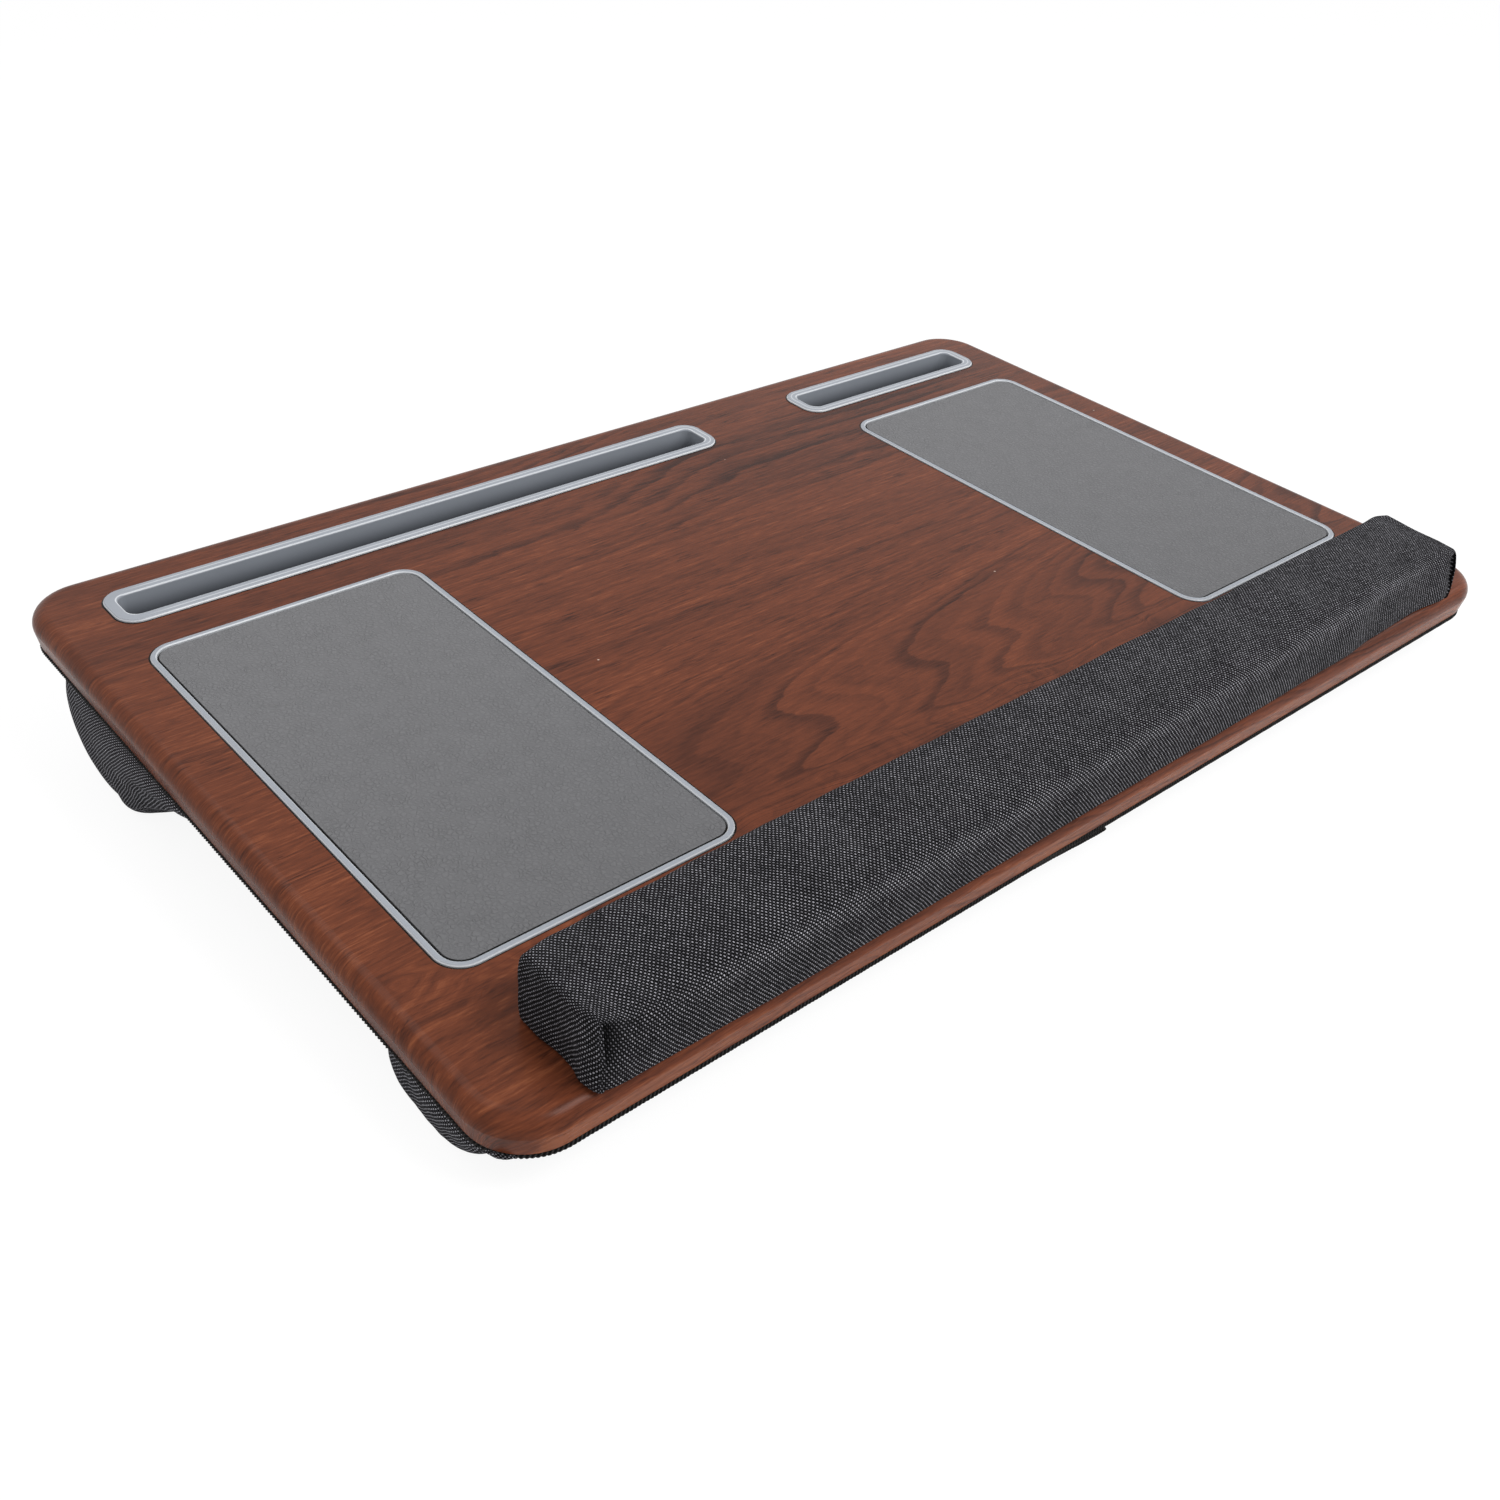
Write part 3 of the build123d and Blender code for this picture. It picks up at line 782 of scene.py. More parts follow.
print("panel builder is ready")

# %% [markdown]
# ## The wrist rest
# A foam bar wrapped in cloth: the cloth is pulled over the front edge in a soft crease and
# folded down over each end, where the spare cloth is tucked into the front corner. The bar
# is a box of panels whose edges are rounded by moving each point towards a rounded corner.
# The crease wanders up and down by a few millimetres along the bar, as the knots below say,
# because a ruler-straight crease is what makes a soft bar look hard.

# %% Wrist rest values
rest_low, rest_high = board_box("wrist_rest_cover")
REST_LEFT = rest_low[0] - 1.0
REST_RIGHT = rest_high[0] + 0.5
REST_CREASE_HEIGHT = ((-270, 30.6), (-262, 29.4), (-252, 27.2), (-238, 25.6), (-205, 25.4), (-182, 25.2),
                      (-163, 26.2), (-121, 24.2), (-90, 22.9), (-40, 24.0), (40, 26.0), (98, 27.4),
                      (141, 29.2), (189, 29.8), (222, 29.0), (262, 26.0))
REST_LEFT_FOOT = ((-191.5, -266.8), (-188.5, -267.9), (-184.6, -268.7), (-178, -266.9), (-169, -266.8),
                  (-162, -268.0), (-155, -268.6), (-148, -268.2))
REST_FRONT_FOOT = ((-270, -191.4), (-255, -192.0), (-184, -192.9), (0, -191.8), (163, -190.2),
                   (190, -188.4), (229, -187.4), (262, -190.0))
REST_BACK_FOOT = ((-270, -149.6), (-252, -147.0), (-225, -145.6), (0, -145.0), (235, -144.2),
                  (252, -143.4), (262, -146.5))
REST_DEPTH = 46.0
REST_HEIGHT = 26.0
REST_BACK_HEIGHT = 28.0
REST_CREASE_SETBACK = 1.8
REST_BACK_SETBACK = 0.2
REST_CROWN = 2.0
REST_BULGE = 1.2
REST_DRAW_IN_RIGHT = 3.6
REST_END_LEAN = 1.0
REST_CORNER_LEAN = 2.2
REST_CORNER_SETBACK = 1.6
REST_ROUND_FRONT = 3.8
REST_ROUND_BACK = 3.6
REST_ROUND_END = 2.8
REST_ROUND_CORNER = 2.6
REST_ROUND_TOP_CORNER = 2.2
REST_FOOT_LIFT = 0.2
REST_ROUND_FOOT = 1.0
REST_FRONT_OVERHANG = 0.8
REST_FRONT_DROP = 0.8
REST_END_REACH, REST_ROUND_REACH, REST_CROWN_REACH, REST_LIFT_REACH = 14.0, 24.0, 30.0, 8.0
REST_CORNER_ALONG, REST_CORNER_DEEP = 9.0, 12.0
REST_CELL, REST_DEEP_CELL, REST_UP_CELL = 4.0, 3.0, 1.8
REST_FINE_CELL, REST_FINE_REACH, REST_FINE_EDGE = 1.2, 18.0, 7.2
TUCK_PLACE = 2.4
TUCK_DEPTH = 3.2
TUCK_WIDTH = 6.5
TUCK_TOP_SHARE = 0.95
TUCK_LOW_SHARE = 0.40
TUCK_RIGHT_SHARE = 0.35
TUCK_REACH = 5.0
# How much paler the cloth is drawn just below the crease, where, and how wide
CREASE_PALING, CREASE_PALING_PLACE, CREASE_PALING_WIDTH = 0.6, 3.5, 3.2
TUCK_STEPS = np.array((1.8, 2.1, 2.7, 3.0, 3.3))


def spaced(low, high, fine, coarse, reach):
    """Places from low to high, close together within reach of each end, then ever wider."""
    half = (high - low) / 2
    places, step = [0.0], fine
    while places[-1] < half - 1e-6:
        if places[-1] > reach:
            step = min(step * 1.2, coarse)
        places.append(places[-1] + step)
    places = np.array(places) * half / places[-1]
    return np.concatenate((low + places, (high - places)[-2::-1]))


def near(distance, radius):
    """1 at an edge, 0 from radius inwards."""
    return max(0.0, (radius - distance) / radius)


def ease(value, low, high):
    """Goes smoothly from 0 at low to 1 at high."""
    share = min(max((value - low) / (high - low), 0.0), 1.0)
    return share * share * (3 - 2 * share)


print("wrist rest from", round(REST_LEFT, 1), "to", round(REST_RIGHT, 1))

# %% [markdown]
# ## The wrist rest's form
# A point of the plain box is first moved onto its rounded edges and then onto the soft bar:
# the wandering crease, the crown, the bulging sides, the hollow ends and some hand-made
# unevenness. At the front corners the cloth goes in behind the end panel's folded edge.

# %% Wrist rest form
def rounded_box_point(along, deep, up):
    """A point of the plain box, moved onto its rounded edges: three distances and the side."""
    length = REST_RIGHT - REST_LEFT
    to_end = min(along, length - along)
    to_side = min(deep, REST_DEPTH - deep)
    front = deep < REST_DEPTH / 2
    high = ease(up, 0.5 * REST_HEIGHT, 0.95 * REST_HEIGHT)
    end_share = near(to_end, REST_ROUND_REACH) ** 2
    crease_round = REST_ROUND_FRONT + (REST_ROUND_BACK - REST_ROUND_FRONT) * deep / REST_DEPTH
    end_round = mix(REST_ROUND_CORNER, REST_ROUND_TOP_CORNER, high)
    side_round = mix(REST_ROUND_FRONT if front else REST_ROUND_BACK, end_round, end_share)
    upper = up > REST_HEIGHT / 2
    edge_round = mix(crease_round, REST_ROUND_END, end_share) if upper else REST_ROUND_FOOT
    distances = (to_end, to_side, REST_HEIGHT - up if upper else up)
    rounds = (end_round, side_round, edge_round)
    parts = np.array([near(distance, radius) for distance, radius in zip(distances, rounds)])
    if parts.max() > 0:
        parts *= parts.max() / np.linalg.norm(parts)
    to_end, to_side, to_edge = [radius * (1 - part) if distance < radius else distance
                                for distance, radius, part in zip(distances, rounds, parts)]
    return to_end, to_side, REST_HEIGHT - to_edge if upper else to_edge, front


def rest_point(along, deep, up):
    """A box point (millimetres from the left, front and foot) moved onto the bar's soft form."""
    to_end, to_side, rise, front = rounded_box_point(along, deep, up)
    left = along < (REST_RIGHT - REST_LEFT) / 2
    x = REST_LEFT + to_end if left else REST_RIGHT - to_end
    y_share = (to_side if front else REST_DEPTH - to_side) / REST_DEPTH
    z_share = rise / REST_HEIGHT
    y_front = smooth_curve(REST_FRONT_FOOT, x) - REST_FRONT_OVERHANG + REST_CREASE_SETBACK * z_share
    y_back = smooth_curve(REST_BACK_FOOT, x) - REST_BACK_SETBACK * z_share
    crease = smooth_curve(REST_CREASE_HEIGHT, x)
    hill = hump(y_share)
    top = mix(crease, REST_BACK_HEIGHT, y_share)
    top += REST_CROWN * hill ** 0.8 * (1 - 0.6 * near(to_end, REST_CROWN_REACH))
    y = mix(y_front, y_back, y_share) + REST_BULGE * hump(z_share) * (2 * y_share - 1) ** 3
    corner_share = near(to_end, REST_CORNER_ALONG) * near(to_side, REST_CORNER_DEEP) * front
    y += REST_CORNER_SETBACK * corner_share * z_share
    z = top * z_share - REST_FRONT_DROP * (1 - z_share) * (1 - y_share) ** 6
    # The end panel is hollow between its corners and leans inwards
    hollow = hill * (1.3 - 0.6 * y_share)
    if left:
        foot_push = (smooth_curve(REST_LEFT_FOOT, y) - REST_LEFT) * (1 - z_share)
    else:
        foot_push = REST_DRAW_IN_RIGHT * hollow
    push = near(to_end, REST_END_REACH) * (foot_push + REST_END_LEAN * z_share)
    push += REST_CORNER_LEAN * corner_share * z_share
    push += near(to_end, REST_END_REACH) * ripple(3.0, y, z, 7.0, 5.3) * 0.9 * (1 - z_share)
    x += push if left else -push
    # Hand-made unevenness
    z += (ripple(x, y, z, 26.0, 1.3) * 0.7 + ripple(x, y, z, 9.0, 4.1) * 0.22) * z_share
    sway = ripple(x, y, z, 24.0, 7.7) * 0.6 + ripple(x, y, z, 8.0, 2.9) * 0.2
    y += sway * (2 * y_share - 1) * min(1.0, 2 * z_share)
    z += near(to_end, REST_LIFT_REACH) * REST_FOOT_LIFT * (1 - z_share) * hollow
    # The tuck, with painted shade along its fold and seam
    fold_shade_and_paling = 0.0
    if front and to_side < TUCK_REACH:
        up_share = up / REST_HEIGHT
        pocket = ease(up_share, TUCK_LOW_SHARE - 0.25, TUCK_LOW_SHARE + 0.25) * (
            1 - ease(up_share, TUCK_TOP_SHARE - 0.12, TUCK_TOP_SHARE + 0.03))
        below = 1 - ease(up_share, TUCK_TOP_SHARE - 0.05, TUCK_TOP_SHARE + 0.03)
        behind = ease(to_end, TUCK_PLACE - 0.3, TUCK_PLACE + 0.3)
        fade = np.exp(-max(to_end - TUCK_PLACE, 0.0) / (2.0 + TUCK_WIDTH * up_share))
        y += near(to_side, TUCK_REACH) * behind * fade * TUCK_DEPTH * (0.4 * below + 0.6 * pocket)
        seam = np.exp(-((to_end - TUCK_PLACE) / 0.55) ** 2) * below
        shade = min(1.0, seam + 0.9 * behind * fade * pocket + 0.3 * behind * fade * below)
        fold_shade_and_paling = near(to_side, TUCK_REACH) * shade * (1.0 if left else TUCK_RIGHT_SHARE)
    # The cloth is drawn paler just below the crease
    below_crease = REST_HEIGHT - up - deep
    pale_band = np.exp(-((below_crease - CREASE_PALING_PLACE) / CREASE_PALING_WIDTH) ** 2)
    fold_shade_and_paling -= CREASE_PALING * pale_band * ease(to_end, 12.0, 60.0)
    return np.array((x, y, z, fold_shade_and_paling))


def rest_faces(piece):
    """Adds the bar's six panels with their cloth coordinates."""
    length = REST_RIGHT - REST_LEFT
    along = spaced(0.0, length, REST_FINE_CELL, REST_CELL, REST_FINE_REACH)
    tuck = np.concatenate((TUCK_STEPS, length - TUCK_STEPS))
    along = np.union1d([a for a in along if np.abs(tuck - a).min() > 0.25], tuck)
    deep = spaced(0.0, REST_DEPTH, REST_FINE_CELL, REST_DEEP_CELL, REST_FINE_EDGE)
    up = spaced(0.0, REST_HEIGHT, REST_FINE_CELL, REST_UP_CELL, REST_FINE_EDGE)
    # How far back and up each line of a long panel lies, and its place across the cloth
    top = [(d, REST_HEIGHT, REST_HEIGHT + d) for d in deep]
    front = [(0.0, u, u) for u in up]
    back = [(REST_DEPTH, u, REST_HEIGHT + REST_DEPTH + REST_HEIGHT - u) for u in up]
    under = [(d, 0.0, REST_HEIGHT + d) for d in deep]
    for panel, flip in ((top, True), (front, True), (back, False), (under, False)):
        piece.grid([[rest_point(a, d, u) for d, u, t in panel] for a in along],
                   [[(a, t) for d, u, t in panel] for a in along], flip=flip)
    for end, side in ((0.0, -1), (length, 1)):
        panel = [[rest_point(end, d, u) for u in up] for d in deep]
        cloth = [[(end + side * (REST_HEIGHT - u), REST_HEIGHT + d) for u in up] for d in deep]
        piece.grid(panel, cloth, flip=side > 0)


def add_subdivision(made):
    """Rounds a grid piece between its points."""
    rounding = made.modifiers.new("rounding", "SUBSURF")
    rounding.levels = 1
    rounding.render_levels = 1
    return made


rest_panels = PanelMesh("wrist_rest_cloth")
rest_faces(rest_panels)
wrist_rest = add_subdivision(rest_panels.build(charcoal_weave))
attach(wrist_rest, "root")
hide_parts("wrist_rest_cover")

# %% [markdown]
# ## The foam inside
# The foam has the cloth's own form a little smaller, so the cloth lies close on it and it
# never shows through. A copy of the finished mesh, scaled so that it leaves a gap on every
# side, gives that, and the same way serves for the stuffing of the bolsters. Moving each
# point in along its normal would be closer still, but it turns small corners inside out.

# %% Foam bar
def inner_copy(source, name, low_gap, high_gap, material, node):
    """A smaller copy of a cloth piece, for what the cloth holds. The gaps are how far its left,
    front and foot, and its right, back and top, lie in from the cloth's, in millimetres."""
    mesh = source.data.copy()
    mesh.name = name
    mesh.materials.clear()
    mesh.materials.append(material)
    to_board = BOARD_TO_WORLD.inverted()
    places = np.array([to_board @ vertex.co for vertex in mesh.vertices])
    low, size = places.min(0), places.max(0) - places.min(0)
    low_gap, high_gap = np.array(low_gap), np.array(high_gap)
    places = low + low_gap + (places - low) * (size - low_gap - high_gap) / size
    for vertex, place in zip(mesh.vertices, places):
        vertex.co = BOARD_TO_WORLD @ Vector(place)
    made = add_object(name, mesh)
    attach(made, "root")
    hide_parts(node)
    print(name, "lies", low_gap, "and", high_gap, "mm inside its cover")


FOAM_GAP = (2.5, 2.5, 2.5)
foam_finish = nodes["wrist_rest_foam"].data.materials[0]
inner_copy(wrist_rest, "wrist_rest_foam_bar", FOAM_GAP, FOAM_GAP, foam_finish, "wrist_rest_foam")

# %% [markdown]
# ## The bolsters
# Each bolster is a stuffed cushion sewn under the board: a steep back, a round bottom and a
# long ramp to the front. Its section is three arcs, laid out as shares of its depth and
# drop, from the top back corner round under it to the top front one.

# %% Bolster values
REAR_SECTION = (((0.90, 0.0), (0.985, 0.45), (0.89, 0.90)), ((0.89, 0.90), (0.73, 1.01), (0.50, 0.88)),
                ((0.50, 0.88), (0.27, 0.49), (0.0, 0.0)))
FRONT_SECTION = (((0.86, 0.0), (0.94, 0.45), (0.86, 0.90)), ((0.86, 0.90), (0.68, 1.03), (0.44, 1.0)),
                 ((0.44, 1.0), (0.22, 0.62), (0.0, 0.0)))
END_RADIUS = 7.0
END_DRAW_IN = 3.2
END_DROP_SHARE = 0.93
END_PUFF = 2.4
BOLSTER_CELL = 7.0
# How much paler the bolster cloth is drawn: it is stretched, and painted light from the floor adds to it
BOLSTER_PALING = 1.15
BOLSTER_FINE_CELL, BOLSTER_FINE_REACH = 1.6, 9.6
ARC_CELLS = (9, 12, 15)
END_CELLS = 8
PUFF_SPREAD = 2.4
START_OUTSET = 1.0
REAR_REACH, FRONT_REACH = 1.8, -0.4
FLOOR_SINK = 0.4


def arc_points(first, middle, last, count):
    """Points along the circle through three points."""
    first, middle, last = [np.array(p, float) for p in (first, middle, last)]
    a, b = middle - first, last - first
    cross = 2 * (a[0] * b[1] - a[1] * b[0])
    centre = first + np.array((b[1] * a.dot(a) - a[1] * b.dot(b), a[0] * b.dot(b) - b[0] * a.dot(a))) / cross
    angles = [atan2(*(p - centre)[::-1]) for p in (first, middle, last)]
    turn = (angles[2] - angles[0]) % (2 * pi)
    if (angles[1] - angles[0]) % (2 * pi) > turn:
        turn -= 2 * pi
    radius = np.linalg.norm(first - centre)
    steps = angles[0] + turn * np.linspace(0, 1, count + 1)
    return [centre + radius * np.array((cos(t), sin(t))) for t in steps]


def bolster_curve(section, front, depth, drop, top):
    """A bolster's section from its top back corner round under it to its top front corner."""
    def place(shares):
        return (front + shares[0] * depth, top - shares[1] * drop)
    curve = []
    for arc, count in zip(section, ARC_CELLS):
        points = arc_points(*[place(shares) for shares in arc], count)
        curve.extend(points if not curve else points[1:])
    return np.array(curve)


print("bolster curve has", len(bolster_curve(REAR_SECTION, 0, 100, 50, 0)), "points")

# %% [markdown]
# ## The bolsters' cloth
# Sections stand side by side along the bolster. Near the ends they close in and round up,
# and a lid on top and two slightly puffed end panels close the bag. It starts a millimetre
# larger than the plain solid, because the real cushion is fuller than a drawn one.

# %% Bolster form
def make_bolster(name, cover, section, end_reach):
    """The cloth of one bolster before stuffing, whose ends lie end_reach past the solid's."""
    low, high = board_box(cover)
    top = high[2]
    half = high[0] + end_reach
    front, depth = low[1], high[1] - low[1]
    drop = top - low[2] + FLOOR_SINK
    along = spaced(-half, half, BOLSTER_FINE_CELL, BOLSTER_CELL, BOLSTER_FINE_REACH)
    rows = []
    for x in along:
        into = near(half - abs(x), END_RADIUS)
        rise = 1 - sqrt(1 - into * into)
        inset = END_DRAW_IN * rise - START_OUTSET
        full_drop = drop * (1 - (1 - END_DROP_SHARE) * rise) + START_OUTSET
        curve = bolster_curve(section, front + inset, depth - 2 * inset, full_drop, top)
        rows.append([np.array((x, y, z, -BOLSTER_PALING)) for y, z in curve])
    arcs = lengths_along(rows[len(rows) // 2])
    last = len(arcs) - 1
    lids = [[row[0] + (row[-1] - row[0]) * j / last for j in range(last + 1)] for row in rows]
    cloth = [[(x, arc) for arc in arcs] for x in along]
    piece = PanelMesh(name)
    piece.grid(rows, cloth)
    piece.grid(lids, cloth, flip=True)
    shares = [k / END_CELLS for k in range(END_CELLS + 1)]
    for row, lid, side in ((rows[0], lids[0], -1), (rows[-1], lids[-1], 1)):
        panel = []
        for j in range(last + 1):
            fade = min(1.0, PUFF_SPREAD * min(j, last - j) / last)
            panel.append([mix(lid[j], row[j], share) + (side * END_PUFF * (hump(share) * fade), 0, 0, 0)
                          for share in shares])
        piece.grid(panel, [[(point[2], point[1]) for point in line] for line in panel], flip=side < 0)
    return piece.build(charcoal_weave), top


rear_bolster, rear_top = make_bolster("rear_bolster_cloth", "rear_bolster_cover", REAR_SECTION, REAR_REACH)
front_bolster, front_top = make_bolster("front_bolster_cloth", "front_bolster_cover", FRONT_SECTION,
                                        FRONT_REACH)

# %% [markdown]
# ## Blowing the bolsters up
# Blender's cloth solver blows each bag up with its sewn top held, which gives the fullness
# and the small folds along the seam that stuffing gives. The result becomes the mesh itself,
# with long moves held back, and it is pressed flat where it stands on the floor.

# %% Stuffing by cloth simulation
CLOTH_FRAMES = 20
CLOTH_SETTINGS = {
    "quality": 5, "mass": 0.3, "tension_stiffness": 20, "compression_stiffness": 10,
    "bending_stiffness": 0.3, "shrink_min": -0.006, "use_pressure": True,
    "uniform_pressure_force": 5.0, "vertex_group_mass": "sewn"}
SEWN_BAND = 0.6
CLOTH_CAP = 4.0
FLOOR_CLEARANCE = 0.0003


def stuff(made, top):
    """Blows a bolster up with its sewn top held, caps the movement and sets it on the floor."""
    to_board = BOARD_TO_WORLD.inverted()
    start = np.array([vertex.co for vertex in made.data.vertices])
    held = made.vertex_groups.new(name="sewn")
    sewn = [i for i, place in enumerate(start) if (to_board @ Vector(place)).z > top - SEWN_BAND]
    held.add(sewn, 1.0, "REPLACE")
    cloth = made.modifiers.new("cloth", "CLOTH")
    for name, value in CLOTH_SETTINGS.items():
        setattr(cloth.settings, name, value)
    cloth.settings.effector_weights.gravity = 0.0
    scene = bpy.context.scene
    for step in range(1, CLOTH_FRAMES + 1):
        scene.frame_set(step)
    solved = made.evaluated_get(bpy.context.evaluated_depsgraph_get())
    end = np.array([vertex.co for vertex in solved.data.vertices])
    scene.frame_set(1)
    made.modifiers.remove(cloth)
    made.vertex_groups.remove(held)
    moved = end - start
    length = np.maximum(np.linalg.norm(moved, axis=1, keepdims=True), 1e-9)
    cap = CLOTH_CAP * MM
    moved *= np.minimum(1.0, cap * np.tanh(length / cap) / length)
    result = start + moved
    result[:, 2] = np.maximum(result[:, 2], FLOOR_CLEARANCE)
    made.data.vertices.foreach_set("co", result.ravel())
    made.data.update()
    print(made.name, "moved up to", round(float(np.linalg.norm(moved, axis=1).max()) / MM, 2), "mm")


stuff(rear_bolster, rear_top)
stuff(front_bolster, front_top)
for bolster, cover in ((rear_bolster, "rear_bolster_cover"), (front_bolster, "front_bolster_cover")):
    add_subdivision(bolster)
    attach(bolster, "root")
    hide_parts(cover)

# %% [markdown]
# ## The stuffing
# The wadding is a smaller copy of each stuffed cloth. Its gap is wide at the front, because
# the bolsters taper to a wedge there, with no room for filling.

# %% Stuffing
FILLING_LOW_GAP = (6.0, 20.0, 5.0)
FILLING_HIGH_GAP = (6.0, 6.0, 3.0)
filling_finish = nodes["rear_bolster_filling"].data.materials[0]
for bolster, name in ((rear_bolster, "rear_bolster"), (front_bolster, "front_bolster")):
    inner_copy(bolster, name + "_wadding", FILLING_LOW_GAP, FILLING_HIGH_GAP, filling_finish,
               name + "_filling")

# %% [markdown]
# ## The base fabric
# One sheet of the same cloth is glued under the whole board, inside the corded edge. It is
# stretched flat, so it is a grid cut to the board's rounded outline with the cloth's own
# thickness, and it keeps the flat size it was cut to.

# %% Base fabric
base_low, base_high = board_box("base_fabric")
BASE_CORNER = 21.5
BASE_COLUMNS, BASE_ROWS = 120, 48


def rounded_reach(x, half_width, half_depth, corner):
    """Half the depth of a rounded rectangle at x."""
    over = max(0.0, abs(x) - (half_width - corner))
    return half_depth - corner + sqrt(max(corner * corner - over * over, 0.0))


def make_base_fabric():
    half_width, half_depth = (base_high[0] - base_low[0]) / 2, (base_high[1] - base_low[1]) / 2
    middle_y = (base_high[1] + base_low[1]) / 2
    along = half_width * np.sin(np.linspace(-pi / 2, pi / 2, BASE_COLUMNS))
    across = np.linspace(-1, 1, BASE_ROWS)
    piece = PanelMesh("base_fabric_sheet")
    sides = []
    for z, flip in ((base_high[2], True), (base_low[2], False)):
        rows = []
        for x in along:
            reach = rounded_reach(x, half_width, half_depth, BASE_CORNER)
            rows.append([np.array((x, middle_y + reach * share, z)) for share in across])
        piece.grid(rows, [[tuple(point[:2]) for point in row] for row in rows], flip=flip)
        sides.append(rows)
    upper, lower = sides
    for index in (0, -1):
        strip = [[above[index], below[index]] for above, below in zip(upper, lower)]
        piece.grid(strip, [[(a[0], a[1]), (b[0], b[1] - 1.0)] for a, b in strip], flip=index == -1)
        strip = [[above, below] for above, below in zip(upper[index], lower[index])]
        piece.grid(strip, [[(a[0], a[1]), (b[0] - 1.0, b[1])] for a, b in strip], flip=index == 0)
    return piece.build(charcoal_weave)


base_fabric = make_base_fabric()
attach(base_fabric, "root")
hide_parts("base_fabric")

# %% [markdown]
# ## The corded edge
# A black rope of three strands runs round the underside and hides the fabric's edge. Three
# touching circles give its section, and turning that section steadily along the path lays
# the strands. Its free end laps under its start near the middle of the front and droops.

# %% Corded edge
CORD_RADIUS = 1.5
CORD_LAY = 5.1
CORD_SIDES = 15
CORD_STEP = 0.6
CORD_CORNER = 24.0
STRAND_SHARE = 0.464
VALLEY_SHARE = 0.62
CORD_DARK = srgb(2, 2, 2)
# Painted highlight colour for the strand crests
CORD_HIGHLIGHT = srgb(62, 60, 59)
LAP_LEFT, LAP_RIGHT, LAP_DROP, LAP_OUT, LAP_POINTS = -54.0, -8.0, 2.2, 0.15, 78
CORD_CREST = "cord_crest"


def cord_finish():
    material, tree = new_finish("black_twisted_cord")
    x, y, z = board_place(tree)
    fibres = cloud(x / 0.5, y / 0.5, z / 0.5, detail=3.0)
    strand = add_node(tree, "Attribute", attribute_name=CORD_CREST, attribute_type="GEOMETRY")
    # Painted highlights: the strand crests are drawn pale where they would catch the light, broken up by the
    # fibres
    crest_highlight = Wire(tree, strand.outputs["Fac"]).step(0.45, 1.0) * fibres.step(-0.7, 0.4)
    surface(tree, blend(crest_highlight, CORD_DARK, CORD_HIGHLIGHT), 0.6, 0.08, fibres * 0.5 + 0.5, 0.1)
    return material


def cord_radius(angle):
    """The radius of three touching round strands at an angle."""
    into = abs((angle + pi / 3) % (2 * pi / 3) - pi / 3)
    offset = 1 - STRAND_SHARE
    reach = offset * cos(into) + sqrt(max(STRAND_SHARE * STRAND_SHARE - (offset * sin(into)) ** 2, 0.0))
    return CORD_RADIUS * max(reach, VALLEY_SHARE)


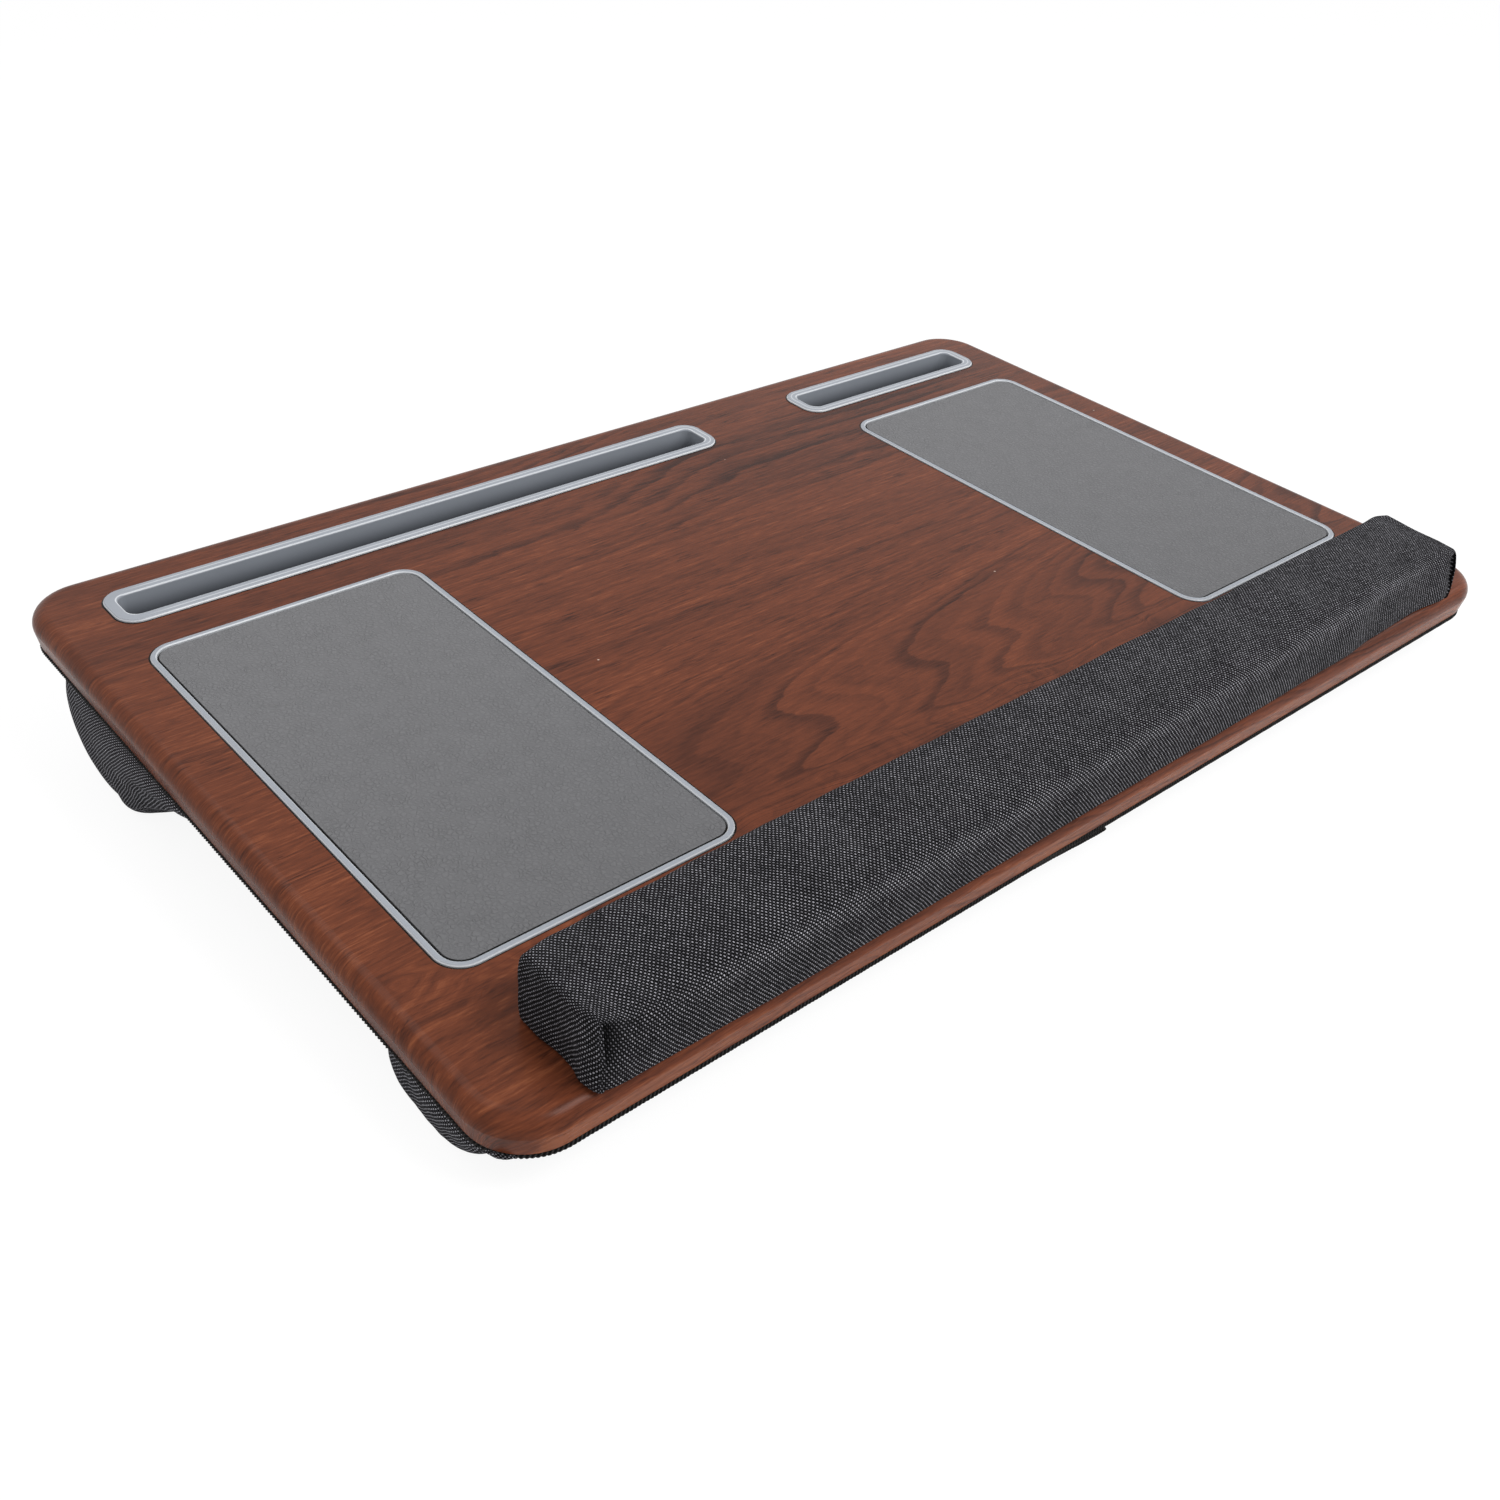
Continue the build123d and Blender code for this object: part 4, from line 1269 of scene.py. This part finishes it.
def add_cord(name, centres, closed, material):
    """A twisted cord along evenly spaced centres in the board's axes."""
    centres = np.array(centres)
    count = len(centres)
    ahead = np.roll(centres, -1, axis=0) - np.roll(centres, 1, axis=0)
    if not closed:
        ahead[0] = centres[1] - centres[0]
        ahead[-1] = centres[-1] - centres[-2]
    gone = lengths_along(centres)
    whole = gone[-1] + (np.linalg.norm(centres[0] - centres[-1]) if closed else 0)
    turns = max(round(whole / CORD_LAY), 1) / whole
    points, faces, crests = [], [], []
    for i in range(count):
        forward = ahead[i] / np.linalg.norm(ahead[i])
        side = np.cross(forward, (0.0, 0.0, 1.0))
        side /= np.linalg.norm(side)
        up = np.cross(side, forward)
        for j in range(CORD_SIDES):
            angle = 2 * pi * j / CORD_SIDES
            radius = cord_radius(angle - 2 * pi * turns * gone[i])
            points.append(centres[i] + radius * (cos(angle) * side + sin(angle) * up))
            crests.append((radius / CORD_RADIUS - VALLEY_SHARE) / (1 - VALLEY_SHARE))
    for i in range(count if closed else count - 1):
        for j in range(CORD_SIDES):
            a, b = i * CORD_SIDES, ((i + 1) % count) * CORD_SIDES
            k = (j + 1) % CORD_SIDES
            faces.append((a + j, a + k, b + k, b + j))
    if not closed:
        faces.append(tuple(range(CORD_SIDES))[::-1])
        faces.append(tuple(range((count - 1) * CORD_SIDES, count * CORD_SIDES)))
    made = add_board_mesh(name, points, faces, material)
    made.data.attributes.new(CORD_CREST, "FLOAT", "POINT").data.foreach_set("value", crests)
    print(name, "is", round(whole, 1), "mm long")
    return made


def rounded_loop(half_width, half_depth, corner, z, step):
    """Evenly spaced points round a rounded rectangle, from the middle of its front."""
    corners = ((1, -1, -pi / 2), (1, 1, 0), (-1, 1, pi / 2), (-1, -1, pi))
    line = [np.array((0.0, -half_depth, z))]
    for sign_x, sign_y, start in corners:
        centre = np.array((sign_x * (half_width - corner), sign_y * (half_depth - corner), z))
        for t in np.linspace(0, pi / 2, 40):
            line.append(centre + corner * np.array((cos(start + t), sin(start + t), 0)))
    line.append(line[0])
    line = np.array(line)
    gone = lengths_along(line)
    places = np.linspace(0, gone[-1], int(gone[-1] / step), endpoint=False)
    return np.stack([np.interp(places, gone, line[:, k]) for k in range(3)], axis=1)


cord_high = board_box("edge_piping")[1]
black_cord = cord_finish()
cord_z = cord_high[2] - CORD_RADIUS
cord_half_width, cord_half_depth = cord_high[0] - CORD_RADIUS, cord_high[1] - CORD_RADIUS
cord_loop = rounded_loop(cord_half_width, cord_half_depth, CORD_CORNER, cord_z, CORD_STEP)
piping = add_cord("edge_cord", cord_loop, True, black_cord)
lap_points = []
for share in np.linspace(0, 1, LAP_POINTS):
    lap_z = cord_z - LAP_DROP * ease(share, 0, 1)
    lap_points.append((mix(LAP_LEFT, LAP_RIGHT, share), -cord_half_depth - LAP_OUT, lap_z))
lap = add_cord("edge_cord_end", lap_points, False, black_cord)
for piece in (piping, lap):
    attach(piece, "root")
    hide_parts("edge_piping")
